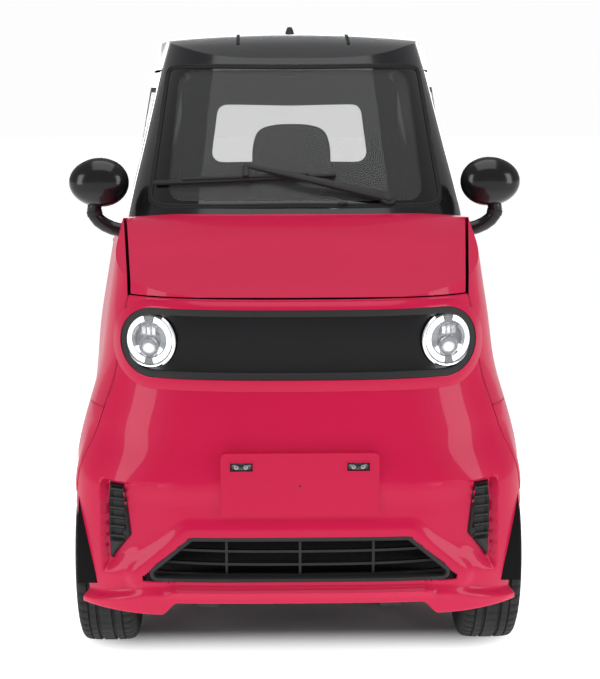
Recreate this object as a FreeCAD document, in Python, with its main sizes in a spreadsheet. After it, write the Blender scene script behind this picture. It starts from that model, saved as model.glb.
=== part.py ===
import FreeCAD, Part
import Sketcher
import math
import os
import time
START = time.time()

# Microcar with one central front seat, in millimetres. Its nose points to -Y, up is +Z, and the
# origin is on the ground under the middle of the car.

doc = FreeCAD.newDocument("microcar")
Vector = FreeCAD.Vector

# Driving dimensions
DIMENSIONS = [
    ("body_length", 2280, "front bumper to rear bumper"),
    ("body_width", 1176, "over the body sides, without the mirrors"),
    ("roof_height", 1610, "ground to the top of the roof"),
    ("wheelbase", 1480, "between the axles"),
    ("track_width", 981, "between the tyres' middle planes"),
    ("tyre_radius", 254, "tread radius"),
    ("tyre_width", 145, "tyre section"),
    ("rim_radius", 160, "rim edge radius"),
    ("rim_width", 118, "over the rim edges"),
    ("arch_radius", 286, "wheel arch cut"),
    ("arch_depth", 306, "how far the wheel space reaches inboard of the body side"),
    ("sill_height", 215, "ground to the lower edge of the body"),
    ("belt_height", 1085, "ground to the top of the lower body"),
    ("door_wall", 58, "thickness of the doors and lower sides"),
    ("cabin_wall", 34, "thickness of the roof and pillars"),
    ("panel_gap", 8, "gap between panels"),
    ("cabin_step", 5, "how far the cabin stands inside the lower body"),
    ("glass_thickness", 6, "all panes"),
    ("seal_gap", 0.3, "between a pane or trim and its frame"),
    ("door_front", -445, "front edge of the doors"),
    ("door_rear", 420, "rear edge of the doors"),
    ("door_bottom", 300, "lower edge of the doors"),
    ("door_top", 1497, "top of the door frames"),
    ("window_frame", 46, "width of the frame round a door window"),
    ("hood_front_height", 943, "ground to the hood's front edge"),
    ("hood_rear", -558, "hinge end of the hood at its sides"),
    ("hood_half_front", 402, "hood half width at the front"),
    ("hood_half_rear", 456, "hood half width at the rear"),
    ("hood_thickness", 20, "hood skin and frame"),
    ("shield_half_top", 366, "windscreen half width at the top"),
    ("shield_half_bottom", 404, "windscreen half width at the bottom"),
    ("shield_top", 1512, "windscreen top height"),
    ("shield_bottom", 1128, "windscreen bottom height"),
    ("gate_half_width", 428, "tailgate half width"),
    ("gate_bottom", 600, "tailgate lower edge"),
    ("gate_top", 1488, "tailgate upper edge"),
    ("band_half_width", 440, "lamp band half width"),
    ("band_height", 171, "lamp band height"),
    ("band_level", 832, "lamp band centre height"),
    ("band_depth", 26, "depth of the lamp band's pocket"),
    ("lamp_radius", 64, "headlamp radius"),
    ("lamp_spread", 365, "headlamp centre from the middle"),
    ("grille_level", 315, "lower grille centre height"),
    ("grille_half_top", 262, "lower grille half width at its top"),
    ("grille_half_bottom", 378, "lower grille half width at its bottom"),
    ("grille_height", 100, "lower grille height"),
    ("kingpin_offset", 430, "steering axis from the middle"),
    ("kingpin_radius", 9, "kingpin radius"),
    ("stub_radius", 15, "stub axle radius"),
    ("running_fit", 0.05, "radial clearance of shafts in bores"),
    ("rail_spread", 225, "chassis rail centre from the middle"),
    ("rail_section", 50, "chassis rail, square"),
    ("rail_bottom", 176, "ground to the chassis rails"),
    ("floor_height", 262, "ground to the top of the cabin floor"),
    ("floor_thickness", 8, "cabin floor"),
    ("battery_length", 620, "battery block"),
    ("battery_width", 380, "battery block"),
    ("battery_height", 150, "battery block"),
    ("wheel_ring_radius", 170, "steering wheel ring centre radius"),
    ("wheel_grip_radius", 13, "steering wheel grip radius"),
    ("column_radius", 17, "steering column"),
    ("seat_width", 460, "driver's seat"),
    ("seat_level", 560, "top of the driver's cushion"),
    ("mirror_spread", 575, "mirror centre from the middle"),
    ("mirror_level", 1182, "mirror centre height"),
    ("mirror_half_width", 97, "mirror housing"),
    ("mirror_half_height", 70, "mirror housing"),
    ("mirror_half_depth", 62, "mirror housing"),
    ("stalk_radius", 17, "mirror stalk"),
]
sheet = doc.addObject("Spreadsheet::Sheet", "Sizes")
for row, (alias, value, meaning) in enumerate(DIMENSIONS, 1):
    sheet.set(f"A{row}", meaning)
    sheet.set(f"B{row}", str(value))
    sheet.setAlias(f"B{row}", alias)
doc.recompute()


def size(alias):
    return float(sheet.get(alias))


half_length = size("body_length") / 2
half_width = size("body_width") / 2
axle_y = size("wheelbase") / 2
wheel_x = size("track_width") / 2
wheel_z = size("tyre_radius")
belt = size("belt_height")
gap = size("panel_gap")

parts = []


def keep(label, shape):
    print(label, round(time.time() - START, 1), flush=True)
    feature = doc.addObject("Part::Feature", label)
    feature.Label = label
    feature.Shape = shape
    feature.Placement = FreeCAD.Placement(Vector(0, 0, 0), FreeCAD.Rotation())
    parts.append(feature)
    return feature


def box(x0, y0, z0, x1, y1, z1):
    return Part.makeBox(x1 - x0, y1 - y0, z1 - z0, Vector(x0, y0, z0))


def rod(start, end, radius):
    start, end = Vector(*start), Vector(*end)
    return Part.makeCylinder(radius, (end - start).Length, start, end - start)


def join(shapes):
    return shapes[0].multiFuse(shapes[1:]).removeSplitter()


def mirrored(shape):
    return shape.mirror(Vector(0, 0, 0), Vector(1, 0, 0))


def prism(points, axis, low, high, grow=0):
    # A straight block whose outline lies across one axis: "x" takes (y, z) points, "y" takes (x, z)
    # points and "z" takes (x, y) points. The outline is grown all round by the last value.
    place = {"x": lambda a, b: Vector(low, a, b),
             "y": lambda a, b: Vector(a, low, b),
             "z": lambda a, b: Vector(a, b, low)}[axis]
    way = {"x": Vector(high - low, 0, 0), "y": Vector(0, high - low, 0), "z": Vector(0, 0, high - low)}[axis]
    corners = [place(a, b) for a, b in points]
    face = Part.Face(Part.makePolygon(corners + corners[:1]))
    if grow:
        face = face.makeOffset2D(grow, 2)
    return face.extrude(way)


def rounded_prism(points, radius, axis, low, high, grow=0):
    block = prism(points, axis, low, high, grow)
    way = {"x": Vector(1, 0, 0), "y": Vector(0, 1, 0), "z": Vector(0, 0, 1)}[axis]
    edges = [e for e in block.Edges if abs(e.tangentAt(e.FirstParameter).dot(way)) > 0.999]
    return block.makeFillet(radius, edges)


# Body surfaces. Each level of the body is a closed outline: a rounded front end, sides that swell
# towards the middle of the car, and a rounded rear end.
LOWER_LEVELS = [
    # height, side tuck at the front, middle and rear, then how far nose and tail stand back
    (165, 22, 22, 22, 34, 40),
    (350, 8, 8, 8, 10, 6),
    (480, 13, 1, 10, 6, 0),
    (610, 39, 0, 20, 22, 4),
    (740, 78, 6, 30, 46, 12),
    (900, 102, 31, 48, 60, 28),
    (1060, 128, 61, 78, 76, 60),
    (1150, 140, 78, 88, 86, 80),
]
CABIN_LEVELS = [
    # height, half width at the front, middle and rear, then the front and rear ends
    (1040, 478, 522, 500, -714, 1040),
    (1130, 466, 508, 488, -638, 1016),
    (1300, 434, 478, 462, -489, 968),
    (1500, 398, 441, 424, -312, 905),
    (1660, 366, 408, 392, -170, 850),
]
FRONT_ROUNDING = 2.7
REAR_ROUNDING = 3.6
OUTLINE_POINTS = 72


def eased(table, column, height):
    # Smooth value of one column of a levels table, with no overshoot between its rows.
    heights = [line[0] for line in table]
    values = [line[column] for line in table]
    if height <= heights[0]:
        return values[0]
    if height >= heights[-1]:
        return values[-1]
    slopes = [(values[i + 1] - values[i]) / (heights[i + 1] - heights[i]) for i in range(len(values) - 1)]
    tangents = [slopes[0]]
    for before, after in zip(slopes, slopes[1:]):
        tangents.append(0 if before * after <= 0 else 2 * before * after / (before + after))
    tangents.append(slopes[-1])
    i = max(k for k in range(len(slopes)) if heights[k] <= height)
    span = heights[i + 1] - heights[i]
    u = (height - heights[i]) / span
    return ((1 + 2 * u) * (1 - u) ** 2 * values[i] + u * (1 - u) ** 2 * span * tangents[i]
            + u * u * (3 - 2 * u) * values[i + 1] + u * u * (u - 1) * span * tangents[i + 1])


def ease(u):
    u = max(0.0, min(1.0, u))
    return u * u * (3 - 2 * u)


def outline(front, middle, rear, nose, tail, front_cap, widest, rear_cap, inset):
    # Right half from the nose round to the tail, then the left half, as evenly spaced points.
    steps = 200
    dense = []
    for i in range(steps + 1):
        turn = math.pi / 2 * (1 - i / steps)
        across = max(0.0, math.cos(turn)) ** (2 / FRONT_ROUNDING)
        along = max(0.0, math.sin(turn)) ** (2 / FRONT_ROUNDING)
        dense.append((front * across, front_cap + (nose - front_cap) * along))
    for i in range(1, steps):
        y = front_cap + (rear_cap - front_cap) * i / steps
        if y < widest:
            width = front + (middle - front) * ease((y - front_cap) / (widest - front_cap))
        else:
            width = middle + (rear - middle) * ease((y - widest) / (rear_cap - widest))
        dense.append((width, y))
    for i in range(steps + 1):
        turn = math.pi / 2 * i / steps
        across = max(0.0, math.cos(turn)) ** (2 / REAR_ROUNDING)
        along = max(0.0, math.sin(turn)) ** (2 / REAR_ROUNDING)
        dense.append((rear * across, rear_cap + (tail - rear_cap) * along))
    lengths = [0]
    for a, b in zip(dense, dense[1:]):
        lengths.append(lengths[-1] + math.hypot(b[0] - a[0], b[1] - a[1]))
    half = OUTLINE_POINTS // 2
    right = []
    k = 0
    for i in range(half + 1):
        reach = lengths[-1] * i / half
        while k < len(lengths) - 2 and lengths[k + 1] < reach:
            k += 1
        u = (reach - lengths[k]) / (lengths[k + 1] - lengths[k])
        right.append((dense[k][0] + (dense[k + 1][0] - dense[k][0]) * u,
                      dense[k][1] + (dense[k + 1][1] - dense[k][1]) * u))
    points = right + [(-x, y) for x, y in reversed(right[1:-1])]
    if inset == 0:
        return points
    moved = []
    for i, (x, y) in enumerate(points):
        before, after = points[i - 1], points[(i + 1) % len(points)]
        run, rise = after[0] - before[0], after[1] - before[1]
        length = math.hypot(run, rise)
        moved.append((x - rise / length * inset, y + run / length * inset))
    return moved


def ring(points, height):
    curve = Part.BSplineCurve()
    count = len(points)
    curve.interpolate(Points=[Vector(x, y, height) for x, y in points], PeriodicFlag=True,
                      Parameters=[i / count for i in range(count + 1)])
    return Part.Wire([curve.toShape()])


def lower_ring(height, inset):
    front, middle, rear = (half_width - eased(LOWER_LEVELS, k, height) for k in (1, 2, 3))
    nose = -half_length + eased(LOWER_LEVELS, 4, height)
    tail = half_length - eased(LOWER_LEVELS, 5, height)
    return ring(outline(front, middle, rear, nose, tail, -axle_y, 0, axle_y, inset), height)


def cabin_ring(height, inset):
    front, middle, rear, nose, tail = (eased(CABIN_LEVELS, k, height) for k in range(1, 6))
    return ring(outline(front, middle, rear, nose, tail, nose + 330, 330, tail - 330, inset), height)


FAR = 2000


def lower_block(inset, bottom, top):
    # All offsets share one set of levels, so that their walls keep the same thickness everywhere.
    count = 14
    low, high = 165, 1190
    levels = [low + (high - low) * i / count for i in range(count + 1)]
    block = Part.makeLoft([lower_ring(z, inset) for z in levels], True, False)
    return block.common(box(-FAR, -FAR, bottom, FAR, FAR, top))


def cabin_block(inset, bottom, top):
    count = 8
    low, high = 1020, 1700
    levels = [low + (high - low) * i / count for i in range(count + 1)]
    block = Part.makeLoft([cabin_ring(z, inset) for z in levels], True, False)
    return block.common(box(-FAR, -FAR, bottom, FAR, FAR, top))


def under_sheet(profile, crown, drop):
    # Everything below a surface that follows a side profile and falls away to the sides.
    stations = 40
    first, last = profile[0][0], profile[-1][0]
    points = []
    for i in range(stations + 1):
        y = first + (last - first) * i / stations
        points.append((y, eased(profile, 1, y)))
    slices = []
    reach = size("body_width")
    for x in (-reach / 2 - 60, -reach / 4, 0, reach / 4, reach / 2 + 60):
        line = [Vector(x, y, z - crown * x * x - drop) for y, z in points]
        curve = Part.BSplineCurve()
        curve.interpolate(line)
        low_rear, low_front = Vector(x, points[-1][0], 100), Vector(x, points[0][0], 100)
        slices.append(Part.Wire([curve.toShape(), Part.makeLine(line[-1], low_rear),
                                 Part.makeLine(low_rear, low_front), Part.makeLine(low_front, line[0])]))
    return Part.makeLoft(slices, True, False)


HOOD_CROWN = 0.00008
HOOD_PROFILE = [(-1300, 800), (-1085, 932), (-880, 1024), (-720, 1092), (-600, 1121), (-500, 1106),
                (-380, belt), (1300, belt)]
ROOF_CROWN = 0.00012
roof = size("roof_height")
ROOF_PROFILE = [(-900, roof - 420), (-290, roof - 84), (-100, roof - 22), (100, roof), (400, roof - 10),
                (800, roof - 66), (1300, roof - 230)]


def top_edges(shape, low, high, y_low, y_high):
    # Edges along the rim where the top surface meets the walls.
    found = []
    for edge in shape.Edges:
        bounds = edge.BoundBox
        if bounds.ZMin > low and bounds.ZMax < high and bounds.YMax < y_high and bounds.YMin > y_low:
            found.append(edge)
    return found


made = {}


def lower_body(inset, drop, bottom, rounding):
    key = ("lower", inset, drop, bottom)
    if key not in made:
        made[key] = lower_block(inset, bottom, 1180).common(under_sheet(HOOD_PROFILE, HOOD_CROWN, drop))
    return made[key]


def lower_body_old(inset, drop, bottom, rounding):
    block = lower_block(inset, bottom, 1180).common(under_sheet(HOOD_PROFILE, HOOD_CROWN, drop))
    rim = top_edges(block, 780, 1165, -2000, 2000)
    return block.makeFillet(rounding, rim) if rounding else block


def cabin_body(inset, drop, bottom, rounding):
    key = ("cabin", inset, drop, bottom)
    if key not in made:
        made[key] = cabin_block(inset, bottom, 1695).common(under_sheet(ROOF_PROFILE, ROOF_CROWN, drop))
    return made[key]


def cabin_body_old(inset, drop, bottom, rounding):
    block = cabin_block(inset, bottom, 1695).common(under_sheet(ROOF_PROFILE, ROOF_CROWN, drop))
    rim = top_edges(block, bottom + 60, 1699, -2000, 2000)
    return block.makeFillet(rounding, rim) if rounding else block


lower_bottom = size("sill_height")
cabin_bottom = belt - 40
skin = size("hood_thickness")
wall = size("door_wall")
step = size("cabin_step")
seal = size("seal_gap")
glass = size("glass_thickness")

lower_outer = lower_body(0, 0, lower_bottom, 0)
lower_wall = lower_outer.cut(lower_block(wall, lower_bottom - 20, 1185))
lower_skin = lower_outer.cut(lower_body(skin, skin, lower_bottom - 20, 0))
bumper_wall = skin + 12
lower_bumper = lower_outer.cut(lower_body(bumper_wall, skin, lower_bottom - 20, 0))
cabin_outer = cabin_body(step, 0, cabin_bottom, 0)
cabin_hollow = cabin_body(step + size("cabin_wall"), size("cabin_wall"), cabin_bottom - 20, 0)
cabin_shell = cabin_outer.cut(cabin_hollow)
pane_set = 2
pane_shell = cabin_body(step + pane_set, pane_set, cabin_bottom - 10, 0).cut(
    cabin_body(step + pane_set + glass, pane_set + glass, cabin_bottom - 20, 0))

# Zones that split the surfaces into panels
door_front, door_rear = size("door_front"), size("door_rear")
door_bottom, door_top = size("door_bottom"), size("door_top")
PILLAR_RUN = 345
REAR_PILLAR_RUN = 70
door_upper = [(door_front, belt), (door_front + PILLAR_RUN, door_top),
              (door_rear - REAR_PILLAR_RUN, door_top), (door_rear, belt)]
door_outline = [(door_front, door_bottom)] + door_upper + [(door_rear, door_bottom)]


def door_zone(grow):
    return rounded_prism(door_outline, 26 + grow, "x", 150, 900, grow)


def window_zone(grow):
    frame = size("window_frame")
    block = prism(door_upper, "x", 150, 900, grow - frame)
    block = block.cut(box(100, -FAR, 0, 950, FAR, belt + 12 - grow))
    return block.makeFillet(30 + grow, [e for e in block.Edges
                                        if abs(e.tangentAt(e.FirstParameter).x) > 0.999])


def quarter_zone(grow):
    front, low, high = door_rear + 60, belt + 34, door_top - 48
    points = [(front, low), (front - 46, high), (front + 130, high - 14), (front + 236, low + 16)]
    return rounded_prism(points, 34 + grow, "x", 150, 900, grow)


hood_front = size("hood_front_height")
half_front, half_rear, hood_rear = size("hood_half_front"), size("hood_half_rear"), size("hood_rear")


def hood_zone(grow):
    plan = [(-half_front, -1300), (half_front, -1300), (half_front, -half_length + 90),
            (half_rear, hood_rear), (-half_rear, hood_rear), (-half_front, -half_length + 90)]
    block = prism(plan, "z", hood_front - grow, 1400, grow)
    return block.cut(cabin_body(step - gap + grow, -60, 1025, 0)) if grow == 0 else block


def bumper_zone(grow):
    seam = [(half_front + 8, hood_front - gap), (448, 880), (458, 800), (478, 762), (640, 668)]
    face = [(640, 100), (-640, 100)] + [(-x, z) for x, z in reversed(seam)] + seam
    return prism(face, "y", -1400, -960 + grow, grow)


gate_half, gate_bottom, gate_top = size("gate_half_width"), size("gate_bottom"), size("gate_top")


def gate_zone(grow):
    points = [(-gate_half, gate_bottom), (-gate_half + 66, gate_top), (gate_half - 66, gate_top),
              (gate_half, gate_bottom)]
    return rounded_prism(points, 50 + grow, "y", 640, 1300, grow)


def gate_window_zone(grow):
    half = gate_half - 128
    points = [(-half, 1180), (-half + 34, 1408), (half - 34, 1408), (half, 1180)]
    return rounded_prism(points, 46 + grow, "y", 600, 1300, grow)


def shield_zone(grow):
    top, bottom = size("shield_half_top"), size("shield_half_bottom")
    low, high = size("shield_bottom"), size("shield_top")
    points = [(-bottom, low), (-top, high), (top, high), (bottom, low)]
    return rounded_prism(points, 28 + grow, "y", -1000, 100, grow)


def band_zone(grow):
    half, level, high = size("band_half_width"), size("band_level"), size("band_height")
    points = [(-half, level - high / 2), (half, level - high / 2), (half, level + high / 2),
              (-half, level + high / 2)]
    return rounded_prism(points, high / 2 - 0.5 + grow, "y", -1400, -800, grow)


def grille_zone(grow):
    low = size("grille_level") - size("grille_height") / 2
    high = low + size("grille_height")
    top, bottom = size("grille_half_top"), size("grille_half_bottom")
    points = [(-bottom, low), (bottom, low), (top, high), (-top, high)]
    return rounded_prism(points, 12 + grow, "y", -1400, -900, grow)


def arches(grow):
    radius = size("arch_radius") + grow
    cuts = []
    for side in (-1, 1):
        for y in (-axle_y, axle_y):
            cuts.append(Part.makeCylinder(radius, 500, Vector(side * (half_width - size("arch_depth")), y, wheel_z),
                                          Vector(side, 0, 0)))
    return cuts


arch_cuts = arches(0)
left_side = box(0, -FAR, 0, FAR, FAR, FAR)

# Front bumper with the pocket for the lamp band, and the hood and fenders above it
bumper = lower_bumper.common(bumper_zone(0)).cut(Part.makeCompound(arch_cuts + [band_zone(0), grille_zone(0)]))
print("bumper parts", [round(solid.Volume / 1e6, 3) for solid in bumper.Solids])
plate_screws = Part.makeCompound([Part.makeCylinder(3, 100, Vector(x, -half_length - 20, 545), Vector(0, 1, 0))
                                  for x in (-122, 122)])
keep("front_bumper", max(bumper.Solids, key=lambda solid: solid.Volume).cut(plate_screws))
keep("hood", lower_skin.common(hood_zone(0)))
fender = lower_skin.common(box(0, -FAR, 0, FAR, door_front - gap, FAR))
cowl_zone = box(-half_rear - gap, hood_rear - 1, 900, half_rear + gap, 0, FAR)
fender = fender.cut(Part.makeCompound(arch_cuts + [hood_zone(gap), bumper_zone(gap), cowl_zone, band_zone(0)]))
fender = max(fender.Solids, key=lambda solid: solid.Volume)
cabin_cover = lower_body(0, -seal, lower_bottom - 40, 0)

# Doors, with the window frame that reaches up to the roof
door_shell = lower_wall.fuse(cabin_shell)
door = door_shell.common(door_zone(0)).cut(window_zone(0))
door = max(door.Solids, key=lambda solid: solid.Volume)
door_glass = pane_shell.common(window_zone(-seal))
door_glass = max(door_glass.Solids, key=lambda solid: solid.Volume)

# Rear quarter with the sill under the door
rear_bumper_front, rear_bumper_top = 960, gate_bottom - gap
rear_bumper_cut = box(-FAR, rear_bumper_front - gap, 0, FAR, FAR, rear_bumper_top + gap)
quarter = lower_wall.common(box(0, door_front - gap + gap, 0, FAR, FAR, FAR))
quarter = quarter.cut(Part.makeCompound(arch_cuts + [door_zone(gap), gate_zone(gap), rear_bumper_cut]))
quarter = max(quarter.Solids, key=lambda solid: solid.Volume)
rear_bumper = lower_bumper.common(box(-FAR, rear_bumper_front, 0, FAR, FAR, rear_bumper_top))
rear_bumper = rear_bumper.cut(Part.makeCompound(arch_cuts))
print("bumper parts", [round(solid.Volume / 1e6, 3) for solid in rear_bumper.Solids])
keep("rear_bumper", max(rear_bumper.Solids, key=lambda solid: solid.Volume))

# Tailgate and its pane
gate = door_shell.common(gate_zone(0)).cut(gate_window_zone(0))
keep("tailgate", max(gate.Solids, key=lambda solid: solid.Volume))
gate_glass = pane_shell.common(gate_window_zone(-seal))
keep("tailgate_glass", max(gate_glass.Solids, key=lambda solid: solid.Volume))

# Roof with its pillars, the windscreen and the fixed side panes
roof_cuts = [cabin_cover, shield_zone(0), gate_zone(gap)]
for zone in (door_zone(gap), quarter_zone(0)):
    roof_cuts += [zone, mirrored(zone)]
roof_shell = cabin_shell.cut(Part.makeCompound(roof_cuts))
keep("roof_shell", max(roof_shell.Solids, key=lambda solid: solid.Volume))
windscreen = pane_shell.common(shield_zone(-seal))
keep("windscreen", max(windscreen.Solids, key=lambda solid: solid.Volume))
side_pane = pane_shell.common(quarter_zone(-seal))
side_pane = max(side_pane.Solids, key=lambda solid: solid.Volume)
keep("side_windows", Part.makeCompound([side_pane, mirrored(side_pane)]))
cowl = lower_skin.common(box(-half_rear - gap + seal, -690, 900, half_rear + gap - seal, door_front - gap, FAR))
hood_space = hood_zone(gap).cut(cabin_body(step, -60, 1025, 0))
cowl = max(cowl.cut(hood_space).Solids, key=lambda solid: solid.Volume)
keep("cowl", cowl)

# Pieces that come in pairs: the left one is made and mirrored
def pair(name, shape):
    keep(name + "_left", shape)
    keep(name + "_right", mirrored(shape))


pair("fender", fender)
pair("quarter", quarter)
pair("door", door)
pair("door_glass", door_glass)

# Lamp band, headlamps, grilles and the plate bracket on the nose
nose_y = -half_length
panel_set = 5
front_half = box(-FAR, -FAR, 0, FAR, -700, FAR)


def layer(zone, outer_set, inner_set):
    # The part of a zone that lies between two depths below the body surface.
    solid = zone.common(lower_body(outer_set, 0, lower_bottom, 0)).cut(lower_body(inner_set, 0, lower_bottom - 20, 0))
    return max(solid.Solids, key=lambda piece: piece.Volume)


band_plate = layer(band_zone(-seal), panel_set, panel_set + 18)
lamp_seats = []
lamps = []
for side in (-1, 1):
    centre = Vector(side * size("lamp_spread"), -1300, size("band_level") + 4)
    lamp_seats.append(Part.makeCylinder(size("lamp_radius"), 600, centre, Vector(0, 1, 0)))
    lens = Part.makeCylinder(size("lamp_radius") - seal, 600, centre, Vector(0, 1, 0))
    lamps.append(layer(lens, panel_set + 3, panel_set + 40))
keep("lamp_panel", band_plate.cut(Part.makeCompound(lamp_seats)))
keep("headlamps", Part.makeCompound(lamps))

grille_set = 10
low = size("grille_level") - size("grille_height") / 2
bars = [box(-400, -1300, low + size("grille_height") * k / 3 - 3, 400, -900,
            low + size("grille_height") * k / 3 + 3) for k in (1, 2)]
bars += [box(x - 3, -1300, low - 5, x + 3, -900, low + size("grille_height") + 5) for x in (-178, 0, 178)]
frame_ring = grille_zone(-seal).cut(grille_zone(-8))
grille = join([frame_ring] + [bar.common(grille_zone(-4)) for bar in bars])
keep("lower_grille", layer(grille, grille_set, grille_set + 14))

plate_half, plate_low, plate_high = 190, 424, 578
bracket = rounded_prism([(-plate_half, plate_low), (plate_half, plate_low), (plate_half, plate_high),
                         (-plate_half, plate_high)], 14, "y", nose_y, nose_y + 40)
bracket = bracket.cut(lower_body(-seal, 0, lower_bottom - 20, 0))
keep("plate_bracket", bracket.cut(plate_screws))

tail_lamps = []
for side in (-1, 1):
    centre = Vector(side * 492, 800, 790)
    lens = Part.makeCylinder(46 - seal, 600, centre, Vector(0, 1, 0)).common(lower_body(-4, 0, lower_bottom, 0))
    tail_lamps.append(lens.cut(lower_body(-seal, 0, lower_bottom - 20, 0)))
keep("tail_lamps", Part.makeCompound([max(lamp.Solids, key=lambda s: s.Volume) for lamp in tail_lamps]))

# Chassis: two rails, cross members, towers for the front springs and the bumper beams
rail_x, rail_half = size("rail_spread"), size("rail_section") / 2
rail_low = size("rail_bottom")
rail_high = rail_low + size("rail_section")
floor_low = size("floor_height") - size("floor_thickness")
tower_top = 568
chassis = []
for side in (-1, 1):
    chassis.append(box(side * rail_x - rail_half, -1060, rail_low, side * rail_x + rail_half, 1040, rail_high))
    tower = box(min(side * 200, side * 240), -axle_y - 30, rail_high - 1, max(side * 200, side * 240),
                -axle_y + 30, tower_top)
    plate = box(min(side * 200, side * 620), -axle_y - 30, tower_top - 8, max(side * 200, side * 620),
                -axle_y + 30, tower_top)
    chassis += [tower, plate.common(lower_body(skin + seal, 0, lower_bottom, 0))]
for y in (-560, 0, 480, 960):
    chassis.append(box(-rail_x, y - 20, rail_low, rail_x, y + 20, rail_high))
inside_wall = lower_body(wall + seal, 0, lower_bottom, 0)
for y in (-380, 340):
    chassis.append(box(-700, y - 25, rail_high - 1, 700, y + 25, floor_low).common(inside_wall))
inside_bumper = lower_body(bumper_wall + seal, 0, lower_bottom, 0)
chassis.append(box(-380, -1300, lower_bottom + 1, 380, -1040, 258).common(inside_bumper))
chassis.append(box(-380, 1020, lower_bottom + 1, 380, 1300, 258).common(inside_bumper))
keep("chassis_frame", join(chassis))

# Cabin tub: floor, footwell between the front wheels, bulkheads and the raised boot floor
inside = lower_body(wall + gap, 0, lower_bottom, 0)
footwell = 270
wheel_wall = -448
tray_top = 552
thick = size("floor_thickness")
floor_high = size("floor_height")
tub = [
    box(-700, wheel_wall, floor_low, 700, 438, floor_high),
    box(-footwell, -648, floor_low, footwell, wheel_wall + thick, floor_high),
    box(-700, 430, floor_low, 700, 438, tray_top + thick),
    box(-700, 430, tray_top, 700, 1060, tray_top + thick),
    box(-700, -648, tray_top, -footwell + thick, wheel_wall + thick, tray_top + thick),
    box(footwell - thick, -648, tray_top, 700, wheel_wall + thick, tray_top + thick),
    box(-700, -648, tray_top, 700, -640, 1040),
    box(-footwell, -648, floor_low, footwell, -640, tray_top + thick),
]
for side in (-1, 1):
    tub.append(box(min(side * footwell, side * (footwell - thick)), -648, floor_low,
                   max(side * footwell, side * (footwell - thick)), wheel_wall + thick, tray_top + thick))
    tub.append(box(min(side * 700, side * (footwell - thick)), wheel_wall, floor_low,
                   max(side * 700, side * (footwell - thick)), wheel_wall + thick, tray_top + thick))
tub = join(tub).common(inside)
keep("floor_tub", tub)


def bound(kind, name, place, **sizes):
    feature = doc.addObject(kind, name)
    for name_of_size, expression in sizes.items():
        feature.setExpression(name_of_size, expression)
    for axis, expression in zip("xyz", place):
        feature.setExpression(f"Placement.Base.{axis}", expression)
    parts.append(feature)
    return feature


bound("Part::Box", "battery_pack", ("-Sizes.battery_width / 2", "-190", "Sizes.floor_height"),
      Length="Sizes.battery_width", Width="Sizes.battery_length / 1.5", Height="Sizes.battery_height")

# Front suspension: lower and upper arms with the spring legs, on the chassis
pin_x = size("kingpin_offset")
pin_radius, fit = size("kingpin_radius"), size("running_fit")
arm_half = 7
low_arm, high_arm = wheel_z - 113, wheel_z + 113
arms = []
for side in (-1, 1):
    def arm(level, root_x, root_half):
        plan = [(side * root_x, -axle_y - root_half), (side * pin_x, -axle_y - 16),
                (side * pin_x, -axle_y + 16), (side * root_x, -axle_y + root_half)]
        eye = Part.makeCylinder(16, 2 * arm_half, Vector(side * pin_x, -axle_y, level - arm_half))
        return prism(plan, "z", level - arm_half, level + arm_half).fuse(eye)
    lower_arm = [arm(low_arm, 205, 60), rod((side * pin_x, -axle_y, low_arm), (side * pin_x, -axle_y, low_arm + arm_half + 22), pin_radius)]
    lower_arm.append(box(min(side * 205, side * 245), -axle_y - 50, low_arm, max(side * 205, side * 245), -axle_y + 50, rail_low))
    lower_arm.append(rod((side * 335, -axle_y, low_arm), (side * 335, -axle_y, 420), 26))
    lower_arm.append(rod((side * 335, -axle_y, 419), (side * 335, -axle_y, tower_top - 8), 9))
    arms.append(join(lower_arm))
    upper = arm(high_arm, 240, 56).cut(Part.makeCylinder(36, 100, Vector(side * 335, -axle_y, high_arm - 50)))
    arms.append(join([upper, rod((side * pin_x, -axle_y, high_arm), (side * pin_x, -axle_y, high_arm - arm_half - 22), pin_radius)]))
keep("front_suspension", Part.makeCompound(arms))

# Knuckles with stub axles and steering arms
arm_reach = 110
knuckles = {}
for side, name in ((-1, "right"), (1, "left")):
    post = rod((side * pin_x, -axle_y, low_arm + arm_half + gap), (side * pin_x, -axle_y, high_arm - arm_half - gap), 15)
    stub = rod((side * pin_x, -axle_y, wheel_z), (side * (wheel_x + 33), -axle_y, wheel_z), size("stub_radius"))
    lever = prism([(side * pin_x, -axle_y - 4), (side * (pin_x - 12), -axle_y - arm_reach - 8),
                   (side * (pin_x - 28), -axle_y - arm_reach - 8), (side * (pin_x - 14), -axle_y)], "z", wheel_z - 8, wheel_z + 8)
    knuckle = join([post, stub, lever])
    for level, way in ((low_arm, 1), (high_arm, -1)):
        knuckle = knuckle.cut(rod((side * pin_x, -axle_y, level), (side * pin_x, -axle_y, level + way * (arm_half + 24)), pin_radius + fit))
    keep("knuckle_" + name, knuckle)

# Steering rack with its tie rods
rack_y = -axle_y - arm_reach
housing = rod((-172, rack_y, wheel_z), (172, rack_y, wheel_z), 22).fuse(box(-150, rack_y - 15, rail_high, 150, rack_y + 15, wheel_z - 10))
rack_member = box(-rail_x, rack_y - 20, rail_low, rail_x, rack_y + 20, rail_high)
housing = housing.cut(rod((-300, rack_y, wheel_z), (300, rack_y, wheel_z), 8 + fit))
keep("steering_rack", join([housing, rack_member.common(box(-rail_x + rail_half, rack_y - 20, rail_low, rail_x - rail_half, rack_y + 20, rail_high))]))
keep("tie_rods", rod((-388, rack_y, wheel_z), (388, rack_y, wheel_z), 8))

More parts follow.
